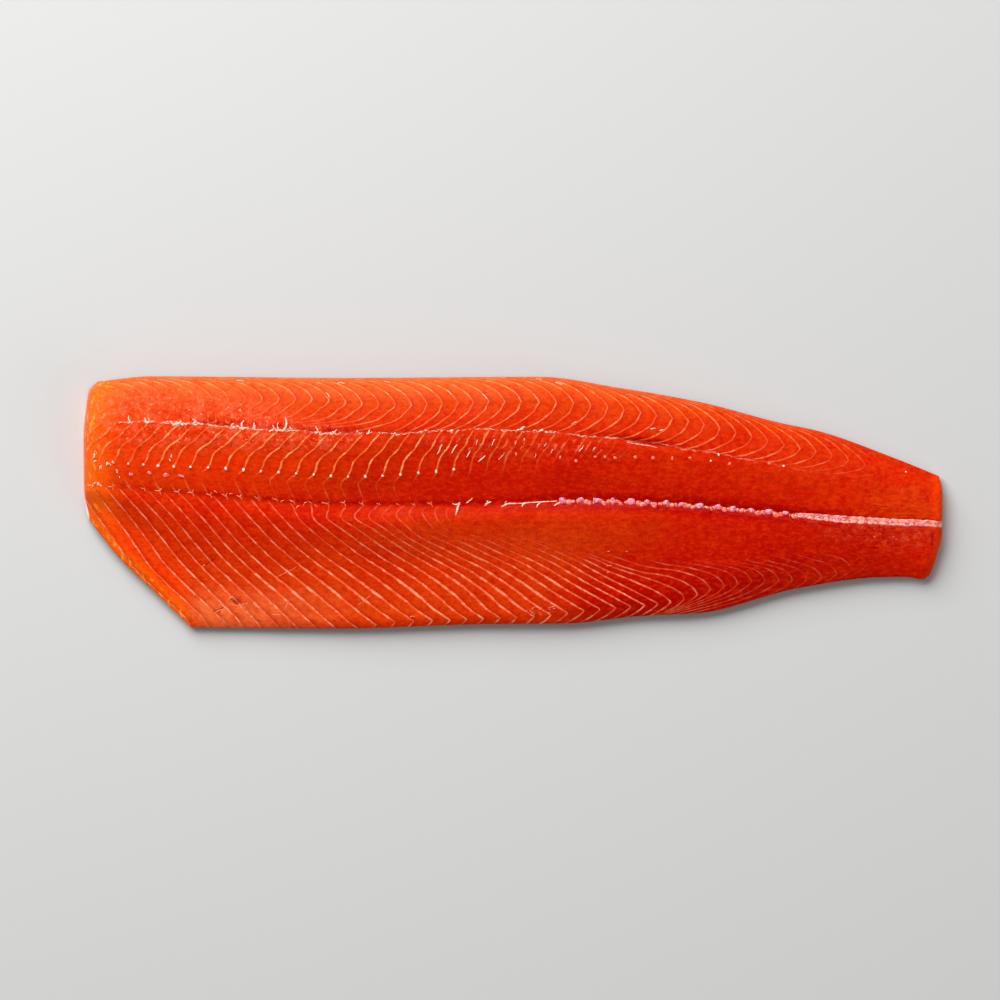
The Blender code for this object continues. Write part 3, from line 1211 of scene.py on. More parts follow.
@dataclass(frozen=True)
class FleshFinish:
    """Wet raw salmon: deep red to orange, with pale lines between the flakes; part of its colour is painted
    light, shade and glints.
    """

    cuts: tuple[Cut, ...]
    red: Colour = (0.57, 0.0095, 0.0004, 1)
    orange: Colour = (0.61, 0.066, 0.0035, 1)
    pale: Colour = (0.84, 0.18, 0.05, 1)
    amber: Colour = (0.97, 0.125, 0.003, 1)
    # The darker red of the flesh's texture, and also the colour of the painted shade.
    deep: Colour = (0.36, 0.0012, 0.0002, 1)
    # Bright red: painted light where the bright mask says, and also the brighter fibres of the flesh's
    # texture.
    bright_red_and_painted_light: Colour = (0.92, 0.042, 0.0012, 1)
    pink: Colour = (0.74, 0.095, 0.045, 1)
    ragged: Colour = (0.86, 0.13, 0.06, 1)
    membrane: Colour = (1.0, 0.40, 0.25, 1)
    # Painted shade inside the cuts and pits, and the smudges' own dark colour.
    cut_shade_and_smudge: Colour = (0.16, 0.0012, 0.0004, 1)
    # Straw: the colour of the painted highlight streaks on the cut faces.
    straw: Colour = (0.98, 0.38, 0.06, 1)
    lines: tuple[LineFinish, ...] = (
        LineFinish("back_line", (0.82, 0.15, 0.04, 1), (0.88, 0.24, 0.09, 1), 0.85),
        LineFinish("loin_line", (0.94, 0.19, 0.032, 1), (0.98, 0.36, 0.12, 1), 0.95),
        LineFinish("belly_line", (0.90, 0.15, 0.05, 1), (0.97, 0.31, 0.16, 1), 0.9),
    )
    wander_patches: float = 130.0
    wander: float = 0.10
    jag_patches: float = 520.0
    jag: float = 0.09
    edge_softness: float = 0.2
    fibre_stretch: Triple = (0.55, 1.0, 1.0)
    streak_stretch: Triple = (0.16, 1.0, 1.0)
    rim_stretch: Triple = (1.0, 0.28, 1.0)

    def material(self) -> Material:
        """Build the material.

        Returns:
            The material.
        """
        layers = Layers("salmon_flesh_wet")
        place = layers.place()
        tone = layers.attribute("tone", "Color")
        warm, pale, amber = layers.parts(tone)
        deep = layers.attribute("tone", "Alpha")
        zone = layers.attribute("zone", "Color")
        membrane, torn, ragged = layers.parts(zone)
        streaks = layers.attribute("zone", "Alpha")
        # bright is the painted light mask.
        crease, bright, _ = layers.parts(layers.attribute("beside"))
        patches = layers.noise(place, 48, 3, 0.55)
        mottle = layers.noise(place, 260, 3, 0.6)
        grain = layers.noise(place, 950, 3, 0.6)
        fibre = layers.noise(layers.stretch(place, self.fibre_stretch), 700, 3, 0.55)
        unrest = (patches - 0.5) * 0.45 + (mottle - 0.5) * 0.6 + (grain - 0.5) * 0.7
        raw = torn.ramp(0.3, 0.9)
        # Painted glints: small pale specks where the flesh is torn.
        painted_glints = layers.noise(place, 480, 3, 0.65).ramp(0.52, 0.68)
        colour = layers.stack(
            self.red,
            # warm is partly painted light
            (self.orange, warm + unrest),
            # painted light
            (self.bright_red_and_painted_light, bright),
            # pale: real fat, and painted light on the back edge and the head cut
            (self.pale, pale * mottle.ramp(0.25, 0.65, 0.5, 1.1)),
            # amber: the cut faces' own colour, partly painted light
            (self.amber, amber),
            # deep is partly painted shade, also under the overhang and in the midline groove
            (self.deep, (deep - unrest * 0.7).clamp() * 0.95),
            (self.deep, fibre.ramp(0.52, 0.32) * 0.28),
            (self.bright_red_and_painted_light, fibre.ramp(0.48, 0.68) * 0.24),
            (self.deep, mottle.ramp(0.46, 0.3) * 0.14),
            (self.pink, raw * mottle.ramp(0.44, 0.66) * 0.5),
            (self.pale, painted_glints * raw * 0.6),
        )
        wander = ((layers.noise(place, self.wander_patches, 2) - 0.5) * self.wander
                  + (layers.noise(place, self.jag_patches, 2, 0.6) - 0.5) * self.jag)
        uneven = layers.noise(place, 210, 3, 0.6).ramp(0.32, 0.66, 0.72, 1.06)
        phases = layers.parts(layers.attribute("phase"))
        ridge: Any = 0.0
        for phase, line in zip(phases, self.lines):
            mask, shade = self.line(layers, phase + wander, line, uneven)
            colour = layers.blend(colour, self.deep, shade * 0.42)
            ink = layers.blend(line.colour, line.bright, uneven.ramp(0.86, 1.06))
            colour = layers.blend(colour, ink, mask * line.strength)
            ridge = mask + ridge
        twice = phases[1] * 2.0 + wander * 9.0 + 0.5
        frayed = abs(twice.fract() - 0.5).ramp(0.2, 0.06) * mottle.ramp(0.45, 0.6) * ragged
        crack = abs(crease + (mottle - 0.5) * 2.8 + (grain - 0.5) * 1.6)
        scraps = layers.noise(place, 300, 3, 0.6).ramp(0.44, 0.6, 0.12, 1.0)
        film = crack.ramp(0.48, 0.1) * membrane * scraps
        flecks = layers.noise(place, 620, 2, 0.6).ramp(0.64, 0.72) * raw
        scratch = layers.noise(layers.stretch(place, self.streak_stretch), 1300, 2, 0.5)
        drag = layers.noise(layers.stretch(place, self.rim_stretch), 520, 2, 0.5)
        # Painted highlights: pale straw streaks on the cut faces.
        painted_cut_highlights = drag.ramp(0.54, 0.68) * amber.ramp(0.66, 0.86)
        colour = layers.stack(
            colour,
            (self.ragged, frayed * 0.8),
            (self.membrane, film * 0.9),
            (self.membrane, flecks * 0.7),
            (self.orange, scratch.ramp(0.54, 0.66) * streaks * 0.6),
            (self.deep, scratch.ramp(0.46, 0.36) * streaks * 0.4),
            # painted highlight streaks
            (self.straw, painted_cut_highlights * 0.5),
            # painted shade in the cuts and pits, and the dark smudges
            (self.cut_shade_and_smudge, self.cut_shades_and_smudges(layers)),
        )
        relief = (raw * 0.8 + 0.4) * (grain * 0.5 + mottle * 0.6)
        height = ridge * 0.25 + relief + fibre * 0.3 + film * 0.6 + flecks * 0.4
        height = height + scratch * streaks * 0.3 + frayed * 0.5
        return layers.finish({
            "Base Color": colour,
            "Roughness": mottle.ramp(0.3, 0.7, 0.26, 0.40),
            "Normal": layers.bump(height, 0.0005, 0.9),
            "IOR": 1.38,
            "Specular IOR Level": 0.035,
            "Subsurface Weight": 0.12,
            "Subsurface Radius": (1.0, 0.25, 0.1),
            "Subsurface Scale": 0.002,
            "Coat Weight": 0.015,
            "Coat Roughness": 0.08,
        })

    def line(self, layers: Layers, phase: Socket, line: LineFinish,
             uneven: Socket) -> tuple[Socket, Socket]:
        """Draw one family's lines.

        Args:
            layers: The material being built.
            phase: The count of lines.
            line: The family's finish.
            uneven: How strong the lines are here.

        Returns:
            The line's mask, and the shade in the flake beside it.
        """
        rate, show, width = layers.parts(layers.attribute(line.attribute))
        moved = phase + 0.5
        step = moved.fract()
        off = abs(step - 0.5) / rate
        own = layers.draw(moved.floor()) * 0.25 + 0.75
        half = width * (uneven * 0.5)
        core = off.ramp(half + self.edge_softness, half - self.edge_softness)
        mask = core * show * uneven * own
        shade = step.ramp(0.98, 0.52) * step.ramp(0.44, 0.5) * show
        return mask, shade

    def cut_shades_and_smudges(self, layers: Layers) -> Socket:
        """Painted shade inside the cuts and pits, and the dark colour of the smudges.

        Args:
            layers: The material being built.

        Returns:
            The mask.
        """
        x, y, _ = layers.parts(layers.attribute("spot"))
        total: Any = 0.0
        for cut in self.cuts:
            run_x, run_y = cut.end[0] - cut.start[0], cut.end[1] - cut.start[1]
            length = max(run_x**2 + run_y**2, 1e-6)
            from_x, from_y = x - cut.start[0], y - cut.start[1]
            along = ((from_x * run_x + from_y * run_y) / length).clamp()
            off_x, off_y = from_x - along * run_x, from_y - along * run_y
            off = (off_x * off_x + off_y * off_y).math("SQRT")
            total = off.ramp(cut.half_width, cut.half_width * 0.2) * cut.shade + total
        return total.clamp()


@dataclass
class Flesh:
    """The flesh as one fine closed mesh, from its upper face to its flat base."""

    face: FleshFace
    tones: FleshTones
    placement: Placement
    columns: int = 540
    rows: tuple[int, int, int] = (34, 46, 72)
    wall_rings: int = 4
    head_zone: tuple[float, int] = (0.014, 10)
    tail_zone: tuple[float, int] = (0.009, 7)
    inner_lanes: tuple[float, ...] = (0.2, 1.0, 2.0, 2.8)

    def grid(self) -> tuple[Array, Array]:
        """Where the columns and rows lie.

        Returns:
            The reaches from head to tail, and the lanes from back to belly.
        """
        head, head_count = self.head_zone
        tail, tail_count = self.tail_zone
        front = head * np.linspace(0, 1, head_count) ** 1.5
        back = 1 - tail * np.linspace(1, 0, tail_count) ** 1.5
        middle = np.linspace(head, 1 - tail, self.columns - head_count - tail_count + 2)
        reach = np.concatenate((front, middle[1:-1], back))
        first, second, third = self.rows
        quarter = math.pi / 2
        loin = 1 + np.linspace(0, 1, second + 1)
        belly = 2 + np.sin(np.linspace(0, quarter, third + 1))
        back_lanes = 1 - np.sin(np.linspace(quarter, 0, first + 1))
        return reach, np.concatenate((back_lanes, loin[1:], belly[1:]))

    def build(self) -> Thing:
        """Make the mesh and what it carries.

        Returns:
            The undressed flesh.
        """
        form = self.face.form
        reach, lanes = self.grid()
        reach, lane = np.meshgrid(reach, lanes, indexing="ij")
        head, tail = form.reach_limits(lane, form.skin_lip)
        x = head + (tail - head) * reach
        y = form.lane_y(x, lane)
        flat = 0 * x
        phases = self.face.phases(x, y, lane, flat)
        shows = self.face.shows(x, lane)
        relief = self.face.relief(x, y, phases, shows)
        z = self.face.top(x, y, lane, (head, tail), relief)
        base = form.base(x, y)
        rates = self.rates(x, y, phases)
        columns, rows = x.shape
        border = border_of(columns, rows)
        ring = tuple(np.array(border).T)
        layers = {"x": x, "y": y, "z": z, "lane": lane, "head": head, "tail": tail, "drop": flat,
                  "rates": rates}
        full = {name: [value.reshape(-1, *value.shape[2:])] for name, value in layers.items()}
        for k in range(1, self.wall_rings + 1):
            down = (z - base)[ring] * k / self.wall_rings
            lowered = {"z": z[ring] - down, "drop": down}
            for name, value in layers.items():
                full[name].append(lowered.get(name, value[ring]))
        faces = self.faces(columns, rows, border)
        inner_x, inner_y, inner_faces = self.underside(x, y, lane, border, columns * rows)
        full = {name: np.concatenate(parts) for name, parts in full.items()}
        points = np.stack((full["x"], full["y"], full["z"]), -1)
        below = np.stack((inner_x, inner_y, form.base(inner_x, inner_y)), -1)
        points = self.placement.metres(np.concatenate((points, below)))
        thing = mesh_object("flesh_flakes", points, faces + inner_faces)
        self.carry(thing, full, len(below))
        thing.data.shade_smooth()
        thing.data.set_sharp_from_angle(angle=math.radians(60))
        return thing

    @staticmethod
    def rates(x: Array, y: Array, phases: Array) -> Array:
        """How fast each family's count changes, in lines to the millimetre.

        Args:
            x: The grid's x values.
            y: The grid's y values.
            phases: The counts on the grid.

        Returns:
            Three rates for each grid point.
        """
        xi, xj = np.gradient(x)
        yi, yj = np.gradient(y)
        area = xi * yj - xj * yi
        area = np.where(abs(area) < 1e-6, 1e-6, area)
        result = []
        for k in range(3):
            pi, pj = np.gradient(phases[..., k])
            along = (pi * yj - pj * yi) / area
            across = (pj * xi - pi * xj) / area
            result.append(np.clip(np.hypot(along, across), 0.05, 1.6))
        return np.stack(result, -1)

    def faces(self, columns: int, rows: int, border: list[tuple[int, int]]) -> Faces:
        """The upper face's and the walls' quads.

        Args:
            columns: The grid's columns.
            rows: The grid's rows.
            border: The grid's border, in order.

        Returns:
            The quads, facing out.
        """
        quads = []
        for i in range(columns - 1):
            a = i * rows
            b = a + rows
            quads += [(a + j, a + j + 1, b + j + 1, b + j) for j in range(rows - 1)]
        count = len(border)
        rings = [[i * rows + j for i, j in border]]
        for k in range(self.wall_rings):
            start = columns * rows + k * count
            rings.append(list(range(start, start + count)))
        for upper, lower in zip(rings[:-1], rings[1:]):
            quads += [(upper[n], upper[(n + 1) % count], lower[(n + 1) % count], lower[n])
                      for n in range(count)]
        return quads

    def underside(self, x: Array, y: Array, lane: Array, border: list[tuple[int, int]],
                  top_count: int) -> tuple[Array, Array, Faces]:
        """Close the base with a few long strips of faces.

        Args:
            x: The grid's x values.
            y: The grid's y values.
            lane: The grid's lanes.
            border: The grid's border, in order.
            top_count: How many points the upper face has.

        Returns:
            The inner points' x and y, and the faces.
        """
        columns, rows = x.shape
        start = top_count + (self.wall_rings - 1) * len(border)
        picks = [int(np.argmin(abs(lane[0] - wanted))) for wanted in self.inner_lanes]
        inner = [(i, j) for i in range(1, columns - 1) for j in picks]
        number = {spot: start + n for n, spot in enumerate(border + inner)}
        stops = [0, *picks, rows - 1]
        faces = []
        for i in range(columns - 1):
            for low, high in zip(stops[:-1], stops[1:]):
                left = range(low, high + 1) if i == 0 else (low, high)
                right = range(low, high + 1) if i == columns - 2 else (low, high)
                loop = [number[(i, j)] for j in left] + [number[(i + 1, j)] for j in reversed(right)]
                faces.append(tuple(reversed(loop)))
        spots = tuple(np.array(inner).T)
        return x[spots], y[spots], faces

    def carry(self, thing: Thing, full: dict[str, Array], extra: int) -> None:
        """Store the line counts and tones on the mesh.

        Args:
            thing: The flesh.
            full: The values of each point above the base's inner points.
            extra: How many inner points follow.
        """
        x, y, lane, drop = full["x"], full["y"], full["lane"], full["drop"]
        phases = self.face.phases(x, y, lane, drop)
        shows = self.face.shows(x, lane)
        crowding = np.clip(self.face.crowded_rate / full["rates"], 0.35, 1)
        widths = self.face.widths(x, y, lane) * crowding
        tones = self.tones.at(x, y, lane, (full["head"], full["tail"]))
        zones = self.tones.zones(x, lane)
        # The second part is the painted light mask.
        beside = np.stack((y - self.face.crease_y(x), self.tones.bright_red_and_painted_light(x, y, lane), 0 * x), -1)
        spot = np.stack((x, y, drop), -1)

        def padded(values: Array) -> Array:
            """The values with rows of zeros for the inner points."""
            return np.concatenate((values, np.zeros((extra, values.shape[1]))))

        for name, values in (("phase", phases), ("tone", tones), ("zone", zones),
                             ("beside", beside), ("spot", spot)):
            give_attribute(thing, name, padded(values))
        for k, name in enumerate(("back_line", "loin_line", "belly_line")):
            rows = np.stack((full["rates"][:, k], shows[:, k], widths[:, k]), -1)
            give_attribute(thing, name, padded(rows) + np.array((1e-3, 0, 0)))

    def finish(self, material: Material) -> None:
        """Build the flesh, dress it and hide the imported part that it replaces."""
        piece = dress(self.build(), material)
        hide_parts("flesh")


# --- The skin ---


@dataclass(frozen=True)
class SkinFinish:
    """Salmon skin: steel blue at the back, silver on the side, white at the belly."""

    back: Colour = srgb(58, 72, 80)
    side: Colour = srgb(150, 158, 160)
    belly: Colour = srgb(214, 210, 202)
    scale_edge: Colour = srgb(92, 102, 108)
    cut_edge: Colour = srgb(246, 178, 160)
    scale_size: Pair = (3.4, 2.6)

    def material(self) -> Material:
        """Build the material.

        Returns:
            The material.
        """
        layers = Layers("salmon_skin_scales")
        place = layers.place()
        x, y, _ = layers.parts(place)
        lane, rim, _ = layers.parts(layers.attribute("across"))
        patches = layers.noise(place, 60, 3)
        colour = layers.blend(self.back, self.side, (lane + (patches - 0.5) * 0.3).ramp(0.35, 1.5))
        colour = layers.blend(colour, self.belly, (lane + (patches - 0.5) * 0.4).ramp(1.6, 2.6))
        length, height = (size * MM for size in self.scale_size)
        row = y / height
        level_shift = (row.floor() * 0.5).fract()
        arc = abs(row.fract() - 0.5)
        step = (x / length + level_shift + arc * arc * 1.5).fract()
        edge = step.ramp(0.16, 0.0)
        colour = layers.blend(colour, self.scale_edge, edge * 0.45)
        colour = layers.blend(colour, self.cut_edge, rim)
        shine = edge * 0.2 + 0.22 + rim * 0.1
        return layers.finish({
            "Base Color": colour,
            "Roughness": shine + (patches - 0.5) * 0.1,
            "Metallic": (1 - rim) * 0.35,
            "Normal": layers.bump(step * (1 - rim) + patches * 0.3, 0.00016, 0.7),
            "Coat Weight": 0.25,
            "Coat Roughness": 0.12,
        })


@dataclass
class Skin:
    """The skin as one fine closed sheet under the flesh."""

    form: FilletForm
    placement: Placement
    columns: int = 300
    rows: int = 90
    rim_width: float = 1.3

    def build(self) -> Thing:
        """Make the sheet and what it carries.

        Returns:
            The undressed skin.
        """
        form = self.form
        even = np.linspace(0, 1, self.columns)
        reach = even - np.sin(2 * math.pi * even) * 0.06
        turn = np.linspace(0, 1, self.rows)
        lanes = 3 * (turn - np.sin(2 * math.pi * turn) * 0.09)
        reach, lane = np.meshgrid(reach, lanes, indexing="ij")
        head, tail = form.reach_limits(lane, 0)
        x = head + (tail - head) * reach
        y = form.lane_y(x, lane)
        under = form.under(x, y)
        edge = np.minimum(np.minimum(x - head, tail - x),
                          np.minimum(form.back_edge.at(x) - y, form.to_belly(x, y)))
        rim = fade(edge, self.rim_width, self.rim_width * 0.6)
        lower = np.stack((x.ravel(), y.ravel(), under.ravel()), -1)
        upper = lower + (0, 0, form.skin_thickness)
        points = self.placement.metres(np.concatenate((lower, upper)))
        thing = mesh_object("skin_scales", points, paired_sheets(*x.shape))
        lane_and_rim = np.stack((lane.ravel(), rim.ravel(), 0 * rim.ravel()), -1)
        below = lane_and_rim * (1, 0, 1)
        below[:, 1] = fade(edge.ravel(), 0.25, 0.0)
        give_attribute(thing, "across", np.concatenate((below, lane_and_rim)))
        thing.data.shade_smooth()
        thing.data.set_sharp_from_angle(angle=math.radians(50))
        return thing

    def finish(self, material: Material) -> None:
        """Build the skin, dress it and hide the imported part that it replaces."""
        piece = dress(self.build(), material)
        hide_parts("skin")


# --- Fat, bone ends and thin sheets standing on the flesh ---


@dataclass(frozen=True)
class FatFinish:
    """Wet fat, nerve or membrane, with a soft unevenness of colour."""

    name: str
    light: Colour
    dark: Colour
    roughness: float = 0.28
    patch: float = 900.0

    def material(self) -> Material:
        """Build the material.

        Returns:
            The material.
        """
        layers = Layers(self.name)
        place = layers.place()
        patches = layers.noise(place, self.patch, 3, 0.6)
        colour = layers.blend(self.dark, self.light, patches.ramp(0.32, 0.62))
        return layers.finish({
            "Base Color": colour,
            "Roughness": patches.ramp(0.3, 0.7, self.roughness, self.roughness + 0.12),
            "Normal": layers.bump(patches, 0.0001, 0.6),
            "Subsurface Weight": 0.3,
            "Subsurface Radius": (1.0, 0.5, 0.4),
            "Subsurface Scale": 0.0012,
            "Coat Weight": 0.35,
            "Coat Roughness": 0.08,
        })


@dataclass(frozen=True)
class Bead:
    """One small rounded lump: its place, and its size along, across and up."""

    x: float
    y: float
    size: Triple
    turn: float = 0.0
    lift: float = 0.0


@dataclass
class Beads:
    """Lumps set on the flesh, all of one kind."""

    name: str
    beads: list[Bead]
    unevenness: float = 0.22
    seed: int = 1
    subdivisions: int = 3

    def recipe(self) -> NodeRecipe:
        """The tree that sets an uneven ball on each point.

        Returns:
            The tree.
        """
        recipe = NodeRecipe("beads_on_points")
        recipe.declare(unevenness="NodeSocketFloat", lump_scale="NodeSocketFloat",
                       seed="NodeSocketFloat", material="NodeSocketMaterial")
        ball = recipe.node("GeometryNodeMeshIcoSphere",
                           inputs={"Radius": 0.5, "Subdivisions": self.subdivisions})
        turn = recipe.node("FunctionNodeEulerToRotation",
                           inputs={"Euler": recipe.named("turn", "FLOAT_VECTOR")})
        set_out = recipe.node("GeometryNodeInstanceOnPoints", inputs={
            "Points": recipe.given("geometry"), "Instance": ball, "Rotation": turn,
            "Scale": recipe.named("size", "FLOAT_VECTOR")})
        real = recipe.node("GeometryNodeRealizeInstances", inputs={"Geometry": set_out})
        recipe.close(recipe.roughen(real, recipe.given("lump_scale"), 1.0))
        return recipe

    def finish(self, face: FleshFace, placement: Placement, material: Material) -> None:
        """Make the beads, dress them and ride them on the fillet.

        Args:
            face: The flesh that they lie on.
            placement: Where the form lies.
            material: Their material.
        """
        x = np.array([bead.x for bead in self.beads])
        y = np.array([bead.y for bead in self.beads])
        points = face.on(x, y)
        points[:, 2] += [bead.lift for bead in self.beads]
        source = mesh_object(f"{self.name}_points", placement.metres(points), [])
        give_attribute(source, "size", np.array([bead.size for bead in self.beads]) * MM)
        give_attribute(source, "turn", np.array([(0, 0, bead.turn) for bead in self.beads]))
        mean = float(np.mean([bead.size[0] for bead in self.beads])) * MM
        values = {"unevenness": self.unevenness * mean * 2, "lump_scale": 0.9 / mean,
                  "seed": float(self.seed), "material": material}
        dress(self.recipe().make(self.name, source, values), material)


@dataclass(frozen=True)
class Strand:
    """A thin wisp along a bent path: its points across the flesh, and its thickness."""

    points: tuple[Pair, ...]
    thickness: float
    lift: Pair = (0.0, 0.0)


@dataclass
class Strands:
    """Wisps lying on the flesh, all of one kind."""

    name: str
    strands: list[Strand]
    steps: int = 9
    seed: int = 1
    unevenness: float = 0.5
    sides: int = 8
    patches: float = 900.0
    stand: float = 0.6
    sunk: float = 0.15

    def recipe(self) -> NodeRecipe:
        """The tree that runs a round, uneven section along each path.

        Returns:
            The tree.
        """
        recipe = NodeRecipe("wisps_on_paths")
        recipe.declare(unevenness="NodeSocketFloat", seed="NodeSocketFloat",
                       sides="NodeSocketInt", material="NodeSocketMaterial")
        path = recipe.node("GeometryNodeMeshToCurve", inputs={"Mesh": recipe.given("geometry")})
        section = recipe.node("GeometryNodeCurvePrimitiveCircle",
                              inputs={"Resolution": recipe.given("sides"), "Radius": 0.5})
        tube = recipe.node("GeometryNodeCurveToMesh", inputs={
            "Curve": path, "Profile Curve": section, "Fill Caps": True,
            "Scale": recipe.named("thick", "FLOAT")})
        recipe.close(recipe.roughen(tube, self.patches, 2.0))
        return recipe

    def finish(self, face: FleshFace, placement: Placement, material: Material) -> None:
        """Make the wisps, dress them and ride them on the fillet.

        Args:
            face: The flesh that they lie on.
            placement: Where the form lies.
            material: Their material.
        """
        draw = np.random.default_rng(self.seed)
        points, thick, edges = [], [], []
        share = np.linspace(0, 1, self.steps)
        for strand in self.strands:
            knots = np.array(strand.points, float)
            stops = np.linspace(0, 1, len(knots))
            x = Track(tuple(zip(stops, knots[:, 0]))).at(share)
            y = Track(tuple(zip(stops, knots[:, 1]))).at(share)
            spots = face.on(x, y)
            rise = strand.lift[0] + (strand.lift[1] - strand.lift[0]) * share**1.5
            spots[:, 2] += rise * self.stand - self.sunk * strand.thickness
            first = sum(len(part) for part in points)
            points.append(spots)
            taper = 0.25 + 0.75 * np.sin(math.pi * (0.08 + 0.84 * share)) ** 0.7
            thick.append(strand.thickness * taper * draw.uniform(0.75, 1.25, self.steps))
            edges += [(first + n, first + n + 1) for n in range(self.steps - 1)]
        source = mesh_object(f"{self.name}_paths", placement.metres(np.concatenate(points)), [], edges)
        give_attribute(source, "thick", np.concatenate(thick) * MM)
        values = {"unevenness": self.unevenness * MM, "seed": float(self.seed), "sides": self.sides,
                  "material": material}
        dress(self.recipe().make(self.name, source, values), material)


@dataclass
class FatBand:
    """The band of fat along the midline at the tail, as a low ribbon of joined lumps."""

    start: float = 127.0
    end: float = 193.9
    half_width: Track = Track(((127, 0.9), (134, 1.4), (150, 1.65), (180, 1.6), (194, 1.45)))
    height: float = 0.6
    sunk: float = 0.45
    lump_pitch: float = 3.7
    steps: tuple[int, int] = (280, 15)

    def finish(self, face: FleshFace, placement: Placement, material: Material) -> None:
        """Make the band, dress it and ride it on the fillet.

        Args:
            face: The flesh that it lies on.
            placement: Where the form lies.
            material: Its material.
        """
        along, over = self.steps
        x, side = np.meshgrid(np.linspace(self.start, self.end, along),
                              np.linspace(-1, 1, over), indexing="ij")
        limit = face.form.tail_cut.at(face.form.midline.at(x)) - 0.05
        x = np.minimum(x, limit)
        lump = 0.5 + 0.5 * np.cos((x - self.start) * 2 * math.pi / self.lump_pitch
                                  + 1.2 * Ripple(20, 50, seed=31).at(x, x * 0))
        lump = np.sqrt(lump)
        wide = self.half_width.at(x) * (0.84 + 0.16 * lump)
        wide = wide * (1 + 0.10 * Ripple(3, 9, seed=17).at(x, np.sign(side) * 7))
        y = face.form.midline.at(x) - 0.1 + side * wide
        spots = face.on(x, y)
        dome = np.sqrt(np.clip(1 - side**2, 0, 1))
        fine = Ripple(1.2, 3.0, seed=23, waves=24).at(x, y)
        rise = self.height * dome * (0.45 + 0.55 * lump) + 0.09 * fine * dome
        upper, lower = spots.copy(), spots.copy()
        upper[..., 2] += rise
        lower[..., 2] -= self.sunk * dome + 0.02
        points = np.concatenate((upper.reshape(-1, 3), lower.reshape(-1, 3)))
        piece = mesh_object("midline_fat_band", placement.metres(points), paired_sheets(*x.shape))
        piece.data.shade_smooth()
        dress(piece, material)


